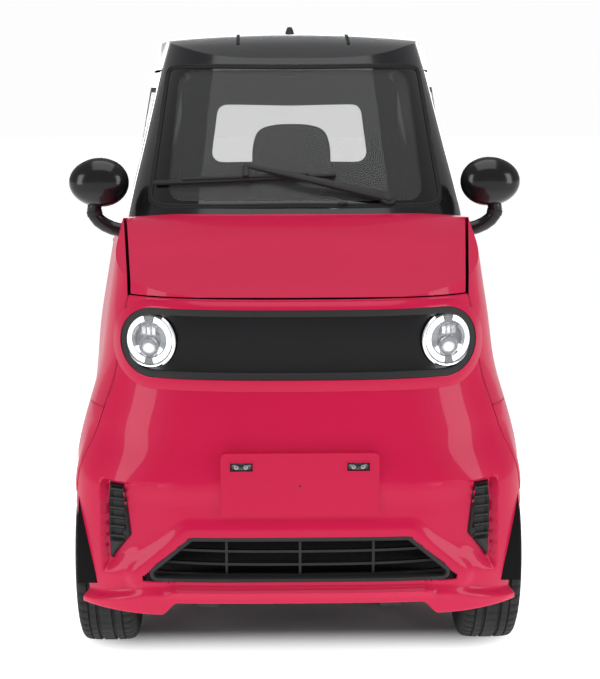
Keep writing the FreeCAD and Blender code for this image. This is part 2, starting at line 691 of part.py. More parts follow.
# Rear axle with its motor, trailing arms and dampers
beam = [rod((-400, axle_y, wheel_z), (400, axle_y, wheel_z), 27),
        rod((-wheel_x - 33, axle_y, wheel_z), (wheel_x + 33, axle_y, wheel_z), size("stub_radius")),
        rod((-150, axle_y, wheel_z), (60, axle_y, wheel_z), 98),
        rod((60, axle_y, wheel_z), (130, axle_y, wheel_z), 118)]
for side in (-1, 1):
    beam.append(box(min(side * 250, side * 290), 400, 188, max(side * 250, side * 290), axle_y + 10, 238))
    beam.append(rod((side * 345, axle_y, wheel_z), (side * 345, axle_y, 430), 25))
    beam.append(rod((side * 345, axle_y, 430), (side * 345, axle_y, tray_top), 9))
keep("rear_axle", join(beam))

# Wheels
CORNERS = [("front_left", 1, -1), ("front_right", -1, -1), ("rear_left", 1, 1), ("rear_right", -1, 1)]


def sketch(body, name, role, corners):
    drawing = body.newObject("Sketcher::SketchObject", name)
    plane = [item for item in body.Origin.OriginFeatures if item.Role == role][0]
    drawing.AttachmentSupport = [(plane, "")]
    drawing.MapMode = "FlatFace"
    count = len(corners)
    start = [Vector(90 * math.cos(2 * math.pi * i / count), 90 * math.sin(2 * math.pi * i / count), 0)
             for i in range(count)]
    drawing.addGeometry([Part.LineSegment(start[i], start[(i + 1) % count]) for i in range(count)], False)
    for i in range(count):
        drawing.addConstraint(Sketcher.Constraint("Coincident", i, 2, (i + 1) % count, 1))
    for i, (across, up) in enumerate(corners):
        for way, distance, expression in (("DistanceX", start[i].x, across), ("DistanceY", start[i].y, up)):
            index = drawing.addConstraint(Sketcher.Constraint(way, -1, 1, i, 1, distance))
            drawing.setExpression(f"Constraints[{index}]", expression)
    return drawing


def turned(name, corners):
    body = doc.addObject("PartDesign::Body", name)
    drawing = sketch(body, name + "_section", "XZ_Plane", corners)
    turn = body.newObject("PartDesign::Revolution", name + "_turn")
    turn.Profile = drawing
    turn.ReferenceAxis = (drawing, ["H_Axis"])
    turn.Angle = 360
    drawing.Visibility = False
    return body


def place_wheel(body, side, end):
    body.setExpression("Placement.Base.x", f"{side} * Sizes.track_width / 2")
    body.setExpression("Placement.Base.y", f"{end} * Sizes.wheelbase / 2")
    body.setExpression("Placement.Base.z", "Sizes.tyre_radius")
    if side < 0:
        body.Placement.Rotation = FreeCAD.Rotation(Vector(0, 0, 1), 180)
    parts.append(body)


TYRE_HALF = [
    ("Sizes.rim_width / 2 - 6", "Sizes.rim_radius - 7.7"),
    ("Sizes.rim_width / 2 - 5.3", "Sizes.rim_radius + 4"),
    ("Sizes.tyre_width / 2 - 4", "Sizes.rim_radius + 22"),
    ("Sizes.tyre_width / 2", "Sizes.rim_radius + 50"),
    ("Sizes.tyre_width / 2 - 4", "Sizes.tyre_radius - 18"),
    ("Sizes.tyre_width / 2 - 15", "Sizes.tyre_radius - 5"),
    ("Sizes.tyre_width / 2 - 38", "Sizes.tyre_radius"),
]
TYRE_HOLLOW = [
    ("Sizes.tyre_width / 2 - 34", "Sizes.tyre_radius - 12"),
    ("Sizes.tyre_width / 2 - 11", "Sizes.tyre_radius - 24"),
    ("Sizes.tyre_width / 2 - 9", "Sizes.rim_radius + 50"),
    ("Sizes.rim_width / 2 - 20", "Sizes.rim_radius - 7.7"),
]


def negative(points):
    return [(f"-({across})", up) for across, up in reversed(points)]


tyre_section = TYRE_HALF + negative(TYRE_HALF) + negative(TYRE_HOLLOW[::-1])[::-1] + []
tyre_section = TYRE_HALF + negative(TYRE_HALF) + [(f"-({a})", b) for a, b in TYRE_HOLLOW[::-1]] + TYRE_HOLLOW
RIM_SECTION = [
    ("-Sizes.rim_width / 2", "Sizes.rim_radius"),
    ("-Sizes.rim_width / 2 + 5", "Sizes.rim_radius"),
    ("-Sizes.rim_width / 2 + 5", "Sizes.rim_radius - 8"),
    ("-22", "Sizes.rim_radius - 8"),
    ("-16", "Sizes.rim_radius - 24"),
    ("16", "Sizes.rim_radius - 24"),
    ("22", "Sizes.rim_radius - 8"),
    ("Sizes.rim_width / 2 - 5", "Sizes.rim_radius - 8"),
    ("Sizes.rim_width / 2 - 5", "Sizes.rim_radius"),
    ("Sizes.rim_width / 2", "Sizes.rim_radius"),
    ("Sizes.rim_width / 2", "Sizes.rim_radius - 13"),
    ("44", "Sizes.rim_radius - 14"),
    ("30", "Sizes.rim_radius - 30"),
    ("26", "50"),
    ("38", "34"),
    ("38", "Sizes.stub_radius + Sizes.running_fit"),
    ("-22", "Sizes.stub_radius + Sizes.running_fit"),
    ("-22", "38"),
    ("8", "50"),
    ("12", "Sizes.rim_radius - 30"),
    ("-16", "Sizes.rim_radius - 30"),
    ("-24", "Sizes.rim_radius - 14"),
    ("-Sizes.rim_width / 2", "Sizes.rim_radius - 13"),
]
for name, side, end in CORNERS:
    place_wheel(turned("tyre_" + name, tyre_section), side, end)
    rim = turned("rim_" + name, RIM_SECTION)
    window = sketch(rim, "rim_window_" + name, "YZ_Plane",
                    [("-17", "66"), ("-42", "Sizes.rim_radius - 38"), ("42", "Sizes.rim_radius - 38"), ("17", "66")])
    pocket = rim.newObject("PartDesign::Pocket", "rim_pocket_" + name)
    pocket.Profile = window
    pocket.Type = 1
    pocket.Midplane = True
    spokes = rim.newObject("PartDesign::PolarPattern", "rim_spokes_" + name)
    spokes.Originals = [pocket]
    spokes.Axis = ([item for item in rim.Origin.OriginFeatures if item.Role == "X_Axis"][0], [""])
    spokes.Angle = 360
    spokes.Occurrences = 7
    rim.Tip = spokes
    place_wheel(rim, side, end)

# Interior: dashboard with the steering column, steering wheel, seats
dash_profile = [(-636, 900), (-636, 1024), (-560, 1054), (-430, 1046), (-330, 1004), (-318, 950), (-340, 800),
                (-420, 790)]
dash_clip = lower_body(wall + gap, -60, lower_bottom, 0)
dash = prism(dash_profile, "x", -560, 560).common(dash_clip)
wheel_centre = Vector(0, -130, 905)
column_way = Vector(0, -math.cos(math.radians(24)), -math.sin(math.radians(24)))
column_end = wheel_centre + column_way * 260
hub_half = 22
column = Part.makeCylinder(34, 212, wheel_centre + column_way * (hub_half + gap), column_way)
shaft = Part.makeCylinder(size("column_radius") - 6, 60, wheel_centre - column_way * (hub_half - 6), column_way)
keep("dashboard", join([max(dash.Solids, key=lambda s: s.Volume), column, shaft]))
wheel_ring = Part.makeTorus(size("wheel_ring_radius"), size("wheel_grip_radius"), wheel_centre, column_way)
hub = Part.makeCylinder(46, 2 * hub_half, wheel_centre - column_way * hub_half, column_way)
side_way = Vector(1, 0, 0)
up_way = column_way.cross(side_way)
spoke_shapes = []
for way in (side_way, -side_way, up_way if up_way.z < 0 else -up_way):
    end = wheel_centre + way * size("wheel_ring_radius")
    spoke_shapes.append(Part.makeCylinder(9, size("wheel_ring_radius"), wheel_centre, way))
ring_shape = join([wheel_ring, hub] + spoke_shapes)
ring_shape = ring_shape.cut(Part.makeCylinder(size("column_radius") - 6 + fit, hub_half * 2, wheel_centre - column_way * (hub_half - 6), column_way))
keep("steering_wheel", ring_shape)

seat_half = size("seat_width") / 2
seat_low = floor_high + size("battery_height") + 20
cushion_profile = [(-210, seat_low), (-226, seat_low + 70), (-200, seat_low + 104), (190, seat_low + 80), (230, seat_low)]
keep("seat_cushion", rounded_prism(cushion_profile, 18, "x", -seat_half, seat_half))
back_profile = [(236, seat_low + 60), (360, 1150), (374, 1340), (428, 1340), (440, 1150), (330, seat_low + 20)]
back_low = prism([(244, seat_low), (352, 1140), (446, 1140), (326, seat_low)], "x", -seat_half, seat_half)
head = prism([(350, 1130), (366, 1340), (432, 1340), (444, 1130)], "x", -130, 130)
keep("seat_back", join([back_low, head]))
base = box(-seat_half + 20, -212, floor_high, seat_half - 20, 330, seat_low - seal)
base = base.cut(box(-size("battery_width") / 2 - seal, -192, floor_high - 10, size("battery_width") / 2 + seal, 230, floor_high + size("battery_height") + seal))
keep("seat_base", base)
bench = []
for side in (-1, 1):
    pass
tray = tray_top + thick
rear_seat = prism([(520, tray + seal), (500, tray + 90), (800, tray + 70), (830, tray + 420), (900, tray + 420), (900, tray + seal)], "x", -400, 400)
keep("rear_seat", rear_seat)

# Wiper, mirrors
wiper_pivot = (245, -640, 1130)

for side, name in ((1, "left"), (-1, "right")):
    centre = Vector(side * size("mirror_spread"), -425, size("mirror_level"))
    across, radius = size("mirror_half_width"), size("mirror_half_height")
    curve = Part.Ellipse(Vector(across, 0, 0), Vector(0, radius, 0), Vector(0, 0, 0))
    arc = Part.Wire([Part.Arc(curve, 0, math.pi).toShape(), Part.makeLine(Vector(-across, 0, 0), Vector(across, 0, 0))])
    ball = Part.Face(arc).revolve(Vector(0, 0, 0), Vector(1, 0, 0), 360)
    ball.translate(centre)
    stalk_points = [(side * 560, -425, 1130), (side * 545, -420, 1092), (side * 478, -412, 1050)]
    stalk = [rod(a, b, size("stalk_radius")) for a, b in zip(stalk_points, stalk_points[1:])]
    stalk += [Part.makeSphere(size("stalk_radius"), Vector(*stalk_points[1]))]
    mirror = join([ball] + stalk).cut(lower_body(-seal, 0, lower_bottom, 0))
    keep("mirror_" + name, max(mirror.Solids, key=lambda s: s.Volume))

doc.recompute()
for feature in doc.Objects:
    if "Invalid" in feature.State or "Error" in feature.State:
        raise RuntimeError(feature.Name + " " + str(feature.State))
for part in parts:
    shape = part.Shape
    print(part.Label, shape.isValid(), len(shape.Solids), round(shape.Volume / 1e6, 2), shape.BoundBox)
os.makedirs("parts", exist_ok=True)
for part in parts:
    part.Shape.exportStep(f"parts/{part.Label}.step")
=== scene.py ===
import math

import bmesh
import bpy
from mathutils import Matrix, Vector
from mathutils.bvhtree import BVHTree


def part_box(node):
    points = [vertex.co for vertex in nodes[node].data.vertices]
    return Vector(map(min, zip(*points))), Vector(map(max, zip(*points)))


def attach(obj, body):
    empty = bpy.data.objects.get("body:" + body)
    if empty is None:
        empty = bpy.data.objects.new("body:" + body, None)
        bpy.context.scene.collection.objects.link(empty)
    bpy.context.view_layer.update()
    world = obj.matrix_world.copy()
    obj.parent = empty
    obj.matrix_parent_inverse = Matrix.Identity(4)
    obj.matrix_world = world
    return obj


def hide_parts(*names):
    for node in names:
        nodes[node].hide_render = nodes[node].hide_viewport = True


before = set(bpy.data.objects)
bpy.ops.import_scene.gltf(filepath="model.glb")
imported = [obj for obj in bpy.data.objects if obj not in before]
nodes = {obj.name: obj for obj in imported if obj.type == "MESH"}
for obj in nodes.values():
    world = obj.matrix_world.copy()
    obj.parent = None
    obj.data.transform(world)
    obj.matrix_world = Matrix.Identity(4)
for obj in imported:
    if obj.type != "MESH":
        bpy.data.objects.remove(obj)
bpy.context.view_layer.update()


# The camera stands about four metres in front of the front wheels, a little above the hood, and looks
# slightly down. Large softboxes light the car from above, from both sides and from behind.
def place_camera():
    picture_height, focal_pixels, sensor_height = 679, 1628, 24
    eye = Vector((-0.065, -4.94, 1.41))
    yaw, pitch, roll = math.radians(0.99), math.radians(8.34), math.radians(-0.13)
    camera = bpy.data.objects.new("camera", bpy.data.cameras.new("camera"))
    camera.data.sensor_fit = "VERTICAL"
    camera.data.sensor_height = sensor_height
    camera.data.lens = sensor_height * focal_pixels / picture_height
    ahead = Vector((math.sin(yaw) * math.cos(pitch), math.cos(yaw) * math.cos(pitch), -math.sin(pitch)))
    turn = ahead.to_track_quat("-Z", "Y").to_matrix() @ Matrix.Rotation(roll, 3, "Z")
    camera.matrix_world = Matrix.Translation(eye) @ turn.to_4x4()
    bpy.context.scene.collection.objects.link(camera)
    bpy.context.scene.camera = camera


def softbox(name, place, aim, width, height, power):
    lamp = bpy.data.objects.new(name, bpy.data.lights.new(name, "AREA"))
    lamp.data.shape = "RECTANGLE"
    lamp.data.size, lamp.data.size_y = width, height
    lamp.data.energy = power
    turn = (Vector(aim) - Vector(place)).to_track_quat("-Z", "Y").to_matrix().to_4x4()
    lamp.matrix_world = Matrix.Translation(place) @ turn
    bpy.context.scene.collection.objects.link(lamp)


def light_room():
    # The backdrop is white to the eye, and lights the car less than it shows.
    world = bpy.data.worlds.new("studio")
    world.use_nodes = True
    tree = world.node_tree
    dim, white = tree.nodes["Background"], tree.nodes.new("ShaderNodeBackground")
    for shade, color, strength in ((dim, (0.93, 0.94, 0.96, 1), 0.36), (white, (1, 1, 1, 1), 0.985)):
        shade.inputs["Color"].default_value = color
        shade.inputs["Strength"].default_value = strength
    path, mix = tree.nodes.new("ShaderNodeLightPath"), tree.nodes.new("ShaderNodeMixShader")
    tree.links.new(path.outputs["Is Camera Ray"], mix.inputs[0])
    tree.links.new(dim.outputs[0], mix.inputs[1])
    tree.links.new(white.outputs[0], mix.inputs[2])
    tree.links.new(mix.outputs[0], tree.nodes["World Output"].inputs[0])
    bpy.context.scene.world = world
    bpy.context.scene.view_settings.view_transform = "Standard"


place_camera()
softbox("overhead_light", (0, -0.9, 4.6), (0, -0.1, 0.6), 3.4, 4.4, 88)
softbox("left_light", (4.4, -3.0, 2.0), (0, -0.3, 0.7), 1.8, 3.0, 74)
softbox("right_light", (-4.4, -3.0, 2.0), (0, -0.3, 0.7), 1.8, 3.0, 74)
softbox("rear_light", (0, 4.6, 1.7), (0, 0, 0.8), 4.0, 1.5, 60)
light_room()


class Wire:
    """One value in a material's node tree. Sums and products on it add the Math nodes they need."""

    def __init__(self, finish, socket):
        self.finish, self.socket = finish, socket

    def join(self, operation, first, second=0.0):
        return self.finish.node("ShaderNodeMath", {"operation": operation}, {0: first, 1: second})

    def __add__(self, other):
        return self.join("ADD", self, other)

    def __sub__(self, other):
        return self.join("SUBTRACT", self, other)

    def __rsub__(self, other):
        return self.join("SUBTRACT", other, self)

    def __mul__(self, other):
        return self.join("MULTIPLY", self, other)

    def __pow__(self, other):
        return self.join("POWER", self, other)

    def __abs__(self):
        return self.join("ABSOLUTE", self)

    __radd__, __rmul__ = __add__, __mul__

    def above_zero(self):
        return self.join("MAXIMUM", self, 0.0)

    def rise(self, low, high):
        # 0 up to low, 1 from high, and a smooth slope between them.
        return self.finish.node("ShaderNodeMapRange", {"interpolation_type": "SMOOTHSTEP"},
                                {"Value": self, "From Min": low, "From Max": high})


class Finish:
    """A material under way, with one method that adds any node and one that ends in a surface input.

    The slot is the record's name for what it covers, and is kept but not used. A mottle is (lowest, scale,
    detail, amount) of spots in the roughness, and a grain is (scale, detail, strength, distance) of spots in
    the relief.
    """

    def __init__(self, name, slot, color, roughness, mottle=None, grain=None, **constants):
        self.material = bpy.data.materials.new(name)
        self.material.use_nodes = True
        self.slot, self.tree = slot, self.material.node_tree
        self.surface = self.tree.nodes["Principled BSDF"]
        self.give("Base Color", (*color, 1))
        self.give("Roughness", roughness)
        names = {"specular": "Specular IOR Level", "glow": "Emission Strength"}
        for word, value in constants.items():
            self.give(names.get(word, word.replace("_", " ").title()), value)
        if mottle:
            lowest, scale, detail, amount = mottle
            self.give("Roughness", lowest + self.spots(scale, detail) * amount)
        if grain:
            self.bump(self.spots(*grain[:2]), *grain[2:])

    def feed(self, socket, value):
        if isinstance(value, Wire):
            self.tree.links.new(value.socket, socket)
        else:
            socket.default_value = value

    def node(self, kind, settings=None, inputs=None, output=0):
        made = self.tree.nodes.new(kind)
        for key, value in (settings or {}).items():
            setattr(made, key, value)
        for key, value in (inputs or {}).items():
            self.feed(made.inputs[key], value)
        return Wire(self, made.outputs[output])

    def give(self, name, value):
        self.feed(self.surface.inputs[name], value)

    def place(self):
        return self.node("ShaderNodeTexCoord", output="Object")

    def axis(self, letter):
        return self.node("ShaderNodeSeparateXYZ", {}, {"Vector": self.place()}, output=letter)

    def spots(self, scale, detail):
        return self.node("ShaderNodeTexNoise", {}, {"Vector": self.place(), "Scale": scale, "Detail": detail})

    def cells(self, scale):
        return self.node("ShaderNodeTexVoronoi", {}, {"Vector": self.place(), "Scale": scale})

    def blend(self, share, first, second):
        first, second = (end if isinstance(end, Wire) else (*end, 1) for end in (first, second))
        return self.node("ShaderNodeMix", {"data_type": "RGBA"}, {0: share, 6: first, 7: second}, output=2)

    def bump(self, height, strength, distance):
        self.give("Normal", self.node("ShaderNodeBump", {}, {"Height": height, "Strength": strength,
                                                             "Distance": distance}))


def dress(finish, *names):
    for name in names:
        for place in nodes[name].material_slots:
            place.material = finish.material


# Pale floor sweep: white seamless ground, plain and matt. It glows white from a little way outside the
# car, so that it meets the backdrop, and takes a shadow only under the car.
def make_floor():
    reach, pale, glow = 60, (0.86, 0.86, 0.865), (0.95, 0.95, 0.95)
    mesh = bpy.data.meshes.new("floor")
    mesh.from_pydata([(-reach, -reach, 0), (reach, -reach, 0), (reach, reach, 0), (-reach, reach, 0)], [],
                     [(0, 1, 2, 3)])
    floor = bpy.data.objects.new("floor", mesh)
    bpy.context.scene.collection.objects.link(floor)
    ground = Finish("pale_floor", "floor", pale, 0.7, specular=0.1, glow=1.0)
    half_width, half_length = 0.42, 0.70
    beside = (abs(ground.axis("X")) - half_width).above_zero()
    along = (abs(ground.axis("Y")) - half_length).above_zero()
    apart = (beside * beside + along * along) ** 0.5
    ground.give("Emission Color", ground.blend(apart.rise(0.0, 0.22), (0, 0, 0), glow))
    ground.give("Base Color", ground.blend(apart.rise(0.3, 2.4), pale, (0.12, 0.12, 0.12)))
    mesh.materials.append(ground.material)


make_floor()


# Painted panels: raspberry red base coat with fine flake under clear coat. Above the waist line the
# doors and the tailgate are gloss black, as the pillars and roof are, and inside they are lined.
def red_paint(name, waist=None, lined=False):
    rough, black_rough, coat, edge = 0.40, 0.16, 0.26, 0.0006
    made = Finish(name, "body_paint", (0.58, 0.004, 0.056), rough, coat_weight=coat, coat_roughness=0.035,
                  specular=0.15)
    red = made.blend(made.spots(2.2, 2), (0.555, 0.003, 0.052), (0.605, 0.005, 0.062))
    red = made.blend(made.spots(2600, 1).rise(0.62, 0.72) * 0.16, red, (0.85, 0.10, 0.16))
    if waist:
        black = made.axis("Z").rise(waist - edge, waist + edge)
        red = made.blend(black, red, (0.010, 0.010, 0.012))
        made.give("Roughness", rough - black * (rough - black_rough))
    if lined:
        # The inner faces of a panel, which look towards the car's middle, are lined with dark trim.
        from_middle = made.node("ShaderNodeVectorMath", {"operation": "SUBTRACT"},
                                {0: made.place(), 1: (0.0, 0.0, 0.75)})
        normal = made.node("ShaderNodeTexCoord", output="Normal")
        facing = made.node("ShaderNodeVectorMath", {"operation": "DOT_PRODUCT"}, {0: normal, 1: from_middle},
                           output="Value")
        lining = 1 - facing.rise(-0.24, -0.14)
        red = made.blend(lining, red, (0.016, 0.016, 0.017))
        made.give("Coat Weight", coat - lining * coat)
    made.give("Base Color", red)
    made.bump(made.spots(380, 2), 0.025, 0.0004)
    return made


paint = red_paint("raspberry_paint")
dress(red_paint("raspberry_lined", lined=True), "rear_bumper", "cowl", "fender_left", "fender_right",
      "quarter_left", "quarter_right", "hood", "front_bumper")
dress(paint, "plate_bracket")
dress(red_paint("raspberry_and_black", waist=1.086, lined=True), "tailgate", "door_left", "door_right")
gloss = Finish("gloss_black", "gloss_black", (0.007, 0.007, 0.008), 0.2, mottle=(0.16, 9, 3, 0.07),
               grain=(260, 2, 0.02, 0.0003), coat_weight=0.22, coat_roughness=0.05, specular=0.3)
dress(gloss, "roof_shell", "lamp_panel", "mirror_left", "mirror_right")
plastic = Finish("grained_black", "black_plastic", (0.016, 0.016, 0.017), 0.6, mottle=(0.52, 40, 3, 0.16),
                 grain=(900, 2, 0.25, 0.0004), specular=0.4)
dress(plastic, "lower_grille", "floor_tub", "dashboard", "seat_base")


# Front bumper: one painted moulding that wraps the nose, with a soft shelf over two corner pockets, a
# raised frame round the grille and a stepped lip along the bottom. It ends at the wheels and fenders.
NOSE_LEVELS = [
    # height, how far the sides tuck in, how far the nose stands back, and how round the corners are
    (0.165, 0.022, 0.034, 3.85), (0.250, 0.014, 0.020, 3.85), (0.350, 0.008, 0.010, 3.7),
    (0.480, 0.013, 0.006, 3.4), (0.620, 0.041, 0.024, 2.7), (0.740, 0.078, 0.046, 2.7),
    (0.900, 0.102, 0.060, 2.7), (1.060, 0.128, 0.076, 2.7),
]
HALF_BODY, HALF_LENGTH = 0.588, 1.140
FRONT_AXLE = Vector((0.4905, -0.740, 0.254))
BAND = dict(half_width=0.440, middle=0.832, radius=0.0855)
GRILLE = [(-0.378, 0.265), (0.378, 0.265), (0.262, 0.365), (-0.262, 0.365)]
BOTH = ((1, "left"), (-1, "right"))


def clamp(value, low=0.0, high=1.0):
    return max(low, min(high, value))


def ease(value, low, high):
    share = clamp((value - low) / (high - low))
    return share * share * (3 - 2 * share)


def level(column, height):
    # The value of one column at a height, with an even slope through each row.
    rows = NOSE_LEVELS
    height = clamp(height, rows[0][0], rows[-1][0])
    slopes = [(b[column] - a[column]) / (b[0] - a[0]) for a, b in zip(rows, rows[1:])]
    turns = [slopes[0]] + [0 if a * b <= 0 else 2 * a * b / (a + b) for a, b in zip(slopes, slopes[1:])]
    turns.append(slopes[-1])
    i = max(k for k in range(len(slopes)) if rows[k][0] <= height)
    span = rows[i + 1][0] - rows[i][0]
    u = (height - rows[i][0]) / span
    return ((1 + 2 * u) * (1 - u) ** 2 * rows[i][column] + u * (1 - u) ** 2 * span * turns[i]
            + u * u * (3 - 2 * u) * rows[i + 1][column] + u * u * (u - 1) * span * turns[i + 1])


def nose_size(z):
    # Half width, the tip's place along the car, and the corners' roundness at a height.
    return HALF_BODY - level(1, z), -HALF_LENGTH + level(2, z), level(3, z)


def nose(x, z):
    # How far forward the body's nose is at a place seen from the front.
    wide, tip, power = nose_size(z)
    return FRONT_AXLE.y + (tip - FRONT_AXLE.y) * max(0.0, 1 - (abs(x) / wide) ** power) ** (1 / power)


def on_nose(x, z, forward):
    return Vector((x, nose(x, z) - forward, z))


def outward(x, z):
    # The direction in plan that the nose faces there.
    step = 0.002
    slope = (nose(abs(x) + step, z) - nose(abs(x) - step, z)) / (2 * step)
    return Vector((slope * math.copysign(1, x), -1, 0)).normalized()


def from_band(x, z):
    # Distance outside the lamp band, which has round ends, and inside it below zero.
    beyond = max(abs(x) - BAND["half_width"] + BAND["radius"], 0)
    return math.hypot(beyond, z - BAND["middle"]) - BAND["radius"]


def from_outline(x, z, corners):
    # Distance outside a convex outline, and inside it below zero.
    inside, nearest = -9.0, 9.0
    for (ax, az), (bx, bz) in zip(corners, corners[1:] + corners[:1]):
        ex, ez = bx - ax, bz - az
        length = math.hypot(ex, ez)
        inside = max(inside, ((x - ax) * ez - (z - az) * ex) / length)
        along = clamp(((x - ax) * ex + (z - az) * ez) / length ** 2)
        nearest = min(nearest, math.hypot(x - ax - along * ex, z - az - along * ez))
    return nearest if inside > 0 else inside


def pocket(x, z):
    # Depth of the corner pocket, which is deepest at its outer wall and fades out towards the middle.
    depth, x = 0.020, abs(x)
    roof = 1 - ease(z, 0.493, 0.499)
    outer = 1 - ease(x, 0.478, 0.488)
    foot = ease(z, 0.262, 0.262 + 0.10 * ease(x, 0.50, 0.36) + 0.03)
    return depth * roof * outer * foot * ease(x, 0.285, 0.425)


def lip(x, z):
    # How far the lip stands out: it falls and widens beside the grille.
    depth, x = 0.020, abs(x)
    crease = 0.247 - 0.032 * ease(x, 0.335, 0.530)
    ledge = 0.236 - 0.018 * ease(x, 0.300, 0.335) - 0.026 * ease(x, 0.335, 0.530)
    return depth * (1 - ease(z, ledge, crease))


def lip_bottom(x):
    x = abs(x)
    return 0.206 - 0.032 * ease(x, 0.295, 0.335) + 0.008 * ease(x, 0.36, 0.53)


def bumper_point(x, z, proud=0.0):
    frame_bulge = 0.009 * (1 - ease(from_outline(x, z, GRILLE), 0.022, 0.055))
    shelf = 0.006 * ease(z, 0.44, 0.50) * (1 - ease(z, 0.50, 0.60)) * (1 - ease(abs(x), 0.42, 0.50))
    return on_nose(x, z, 0.0) + outward(x, z) * (frame_bulge + shelf + lip(x, z) - pocket(x, z) + proud)


def add_piece(name, points, faces, finish, body="body", wall=0.0, smooth=40, turn_out=False):
    mesh = bpy.data.meshes.new(name)
    mesh.from_pydata([tuple(p) for p in points], [], faces)
    work = bmesh.new()
    work.from_mesh(mesh)
    bmesh.ops.remove_doubles(work, verts=work.verts, dist=1e-6)
    loose = [v for v in work.verts if not v.link_faces]
    bmesh.ops.delete(work, geom=loose, context="VERTS")
    if turn_out:
        bmesh.ops.recalc_face_normals(work, faces=work.faces)
    work.to_mesh(mesh)
    work.free()
    piece = bpy.data.objects.new(name, mesh)
    bpy.context.scene.collection.objects.link(piece)
    mesh.materials.append(finish.material)
    if wall:
        shell = piece.modifiers.new("wall", "SOLIDIFY")
        shell.thickness, shell.offset = wall, -1
    mesh.polygons.foreach_set("use_smooth", [True] * len(mesh.polygons))
    mesh.set_sharp_from_angle(angle=math.radians(smooth))
    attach(piece, body)
    return piece


def sheet_faces(rows, columns, kept=None, flip=False):
    faces = []
    for r in range(rows - 1):
        for c in range(columns - 1):
            if kept is None or kept(r, c):
                a = r * columns + c
                face = (a, a + 1, a + columns + 1, a + columns)
                faces.append(face[::-1] if flip else face)
    return faces


def arch_front(z):
    # The bumper ends a little in front of the wheel, or at the fender's seam above it.
    radius, seam = 0.275, -0.960
    drop = z - FRONT_AXLE.z
    return min(seam, FRONT_AXLE.y - math.sqrt(max(0.0, radius ** 2 - drop ** 2)))


def make_bumper():
    rows, columns, low, top = 176, 181, 0.18, 0.9395
    points = []
    for r in range(rows):
        share = r / (rows - 1)
        z_mid = low + (top - low) * share
        wide, tip, power = nose_size(z_mid)
        end = (arch_front(z_mid) - FRONT_AXLE.y) / (tip - FRONT_AXLE.y)
        reach = wide * (1 - end ** power) ** (1 / power)
        for c in range(columns):
            u = 2 * c / (columns - 1) - 1
            x = reach * math.copysign(1 - (1 - abs(u)) ** 1.35, u)
            z = lip_bottom(x) + (top - lip_bottom(x)) * share
            points.append(bumper_point(x, z))

    def kept(r, c):
        middle = (points[r * columns + c] + points[(r + 1) * columns + c + 1]) / 2
        return from_band(middle.x, middle.z) > 0.005 and from_outline(middle.x, middle.z, GRILLE) > 0.006

    faces = sheet_faces(rows, columns, kept)
    made = add_piece("front_bumper_skin", points, faces, paint, wall=0.003, smooth=50)
    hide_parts("front_bumper")


make_bumper()


def make_corner(side, name):
    # The bumper's corner runs on over the fender's front edge and fades into it above the wheel.
    rows, columns, top = 40, 30, 0.66
    front, length, arch_radius, fender_power = -0.9585, 0.1005, 0.290, 2.7
    points = []
    for r in range(rows):
        for c in range(columns):
            y = front + length * c / (columns - 1)
            low = FRONT_AXLE.z + math.sqrt(arch_radius ** 2 - (y - FRONT_AXLE.y) ** 2)
            z = low + (top - low) * r / (rows - 1)
            wide, tip, power = nose_size(z)
            along = (y - FRONT_AXLE.y) / (tip - FRONT_AXLE.y)
            x_round, x_square = (wide * (1 - along ** p) ** (1 / p) for p in (fender_power, power))
            fade = 1 - ease(y, -0.945, -0.860)
            proud = 0.0012 * (1 - c / (columns - 1)) - 0.0002
            points.append(Vector((side * (x_round + (x_square - x_round) * fade + proud), y, z)))
    add_piece("fender_corner_" + name, points, sheet_faces(rows, columns, flip=side < 0), paint, wall=0.002)


for side, name in BOTH:
    make_corner(side, name)


# Lamp band: a gloss black plate sunk into the nose, with a matt black rim round it, inside a raised
# red surround moulded on the bumper. The middle of the plate is bare.
def loft(name, rings, finish, body="body", closed=False, smooth=35):
    # A skin over rings of points. The last ring joins the first where it is closed, and has a cap if not.
    across, around = len(rings), len(rings[0])
    points = [p for ring in rings for p in ring]
    faces = [(i * around + j, i * around + (j + 1) % around, (i + 1) % across * around + (j + 1) % around,
              (i + 1) % across * around + j) for i in range(across if closed else across - 1)
             for j in range(around)]
    if not closed:
        faces += [tuple(range(around))[::-1], tuple((across - 1) * around + j for j in range(around))]
    return add_piece(name, points, faces, finish, body, smooth=smooth, turn_out=True)


def band_outline(offset, count=240):
    # Points round the band, evenly spaced, at a distance outside its edge, with the way each faces. The
    # second half of the way round is the first half turned about the middle.
    straight = 2 * (BAND["half_width"] - BAND["radius"])
    half_way = straight + math.pi * BAND["radius"]
    radius = BAND["radius"] + offset
    points = []
    for i in range(count):
        along, sign = 2 * half_way * i / count, 1
        if along >= half_way:
            along, sign = along - half_way, -1
        turn = -math.pi / 2 + max(0.0, along - straight) / BAND["radius"]
        x = min(along, straight) - straight / 2 + radius * math.cos(turn)
        points.append((sign * x, BAND["middle"] + sign * radius * math.sin(turn),
                       turn if sign > 0 else turn + math.pi))
    return points


def band_rings(stations):
    # Each station is (distance outside the band, forward of the nose).
    return [[on_nose(x, z, forward) for x, z, turn in band_outline(offset)] for offset, forward in stations]


def make_band():
    # The surround is broad below the band and narrower above it.
    rings = []
    for share, forward in ((0.0, 0.0005), (0.35, 0.006), (1.0, 0.0125)):
        ring = []
        for x, z, turn in band_outline(0.001):
            rise = math.sin(turn)
            out = (0.0185 + 0.0075 * max(0.0, -rise) - 0.0025 * max(0.0, rise)) * (1 - share)
            ring.append(on_nose(x + out * math.cos(turn), z + out * rise, forward))
        rings.append(ring)
    rings += band_rings([(-0.0015, 0.0125), (-0.002, -0.004), (0.012, -0.004)])
    loft("band_surround", rings, paint, closed=True)
    rim = [(-0.0022, 0.0100), (-0.0150, 0.0090), (-0.0185, 0.0060), (-0.0188, -0.0045), (-0.0022, -0.0045)]
    loft("band_rim", band_rings(rim), plastic, closed=True)


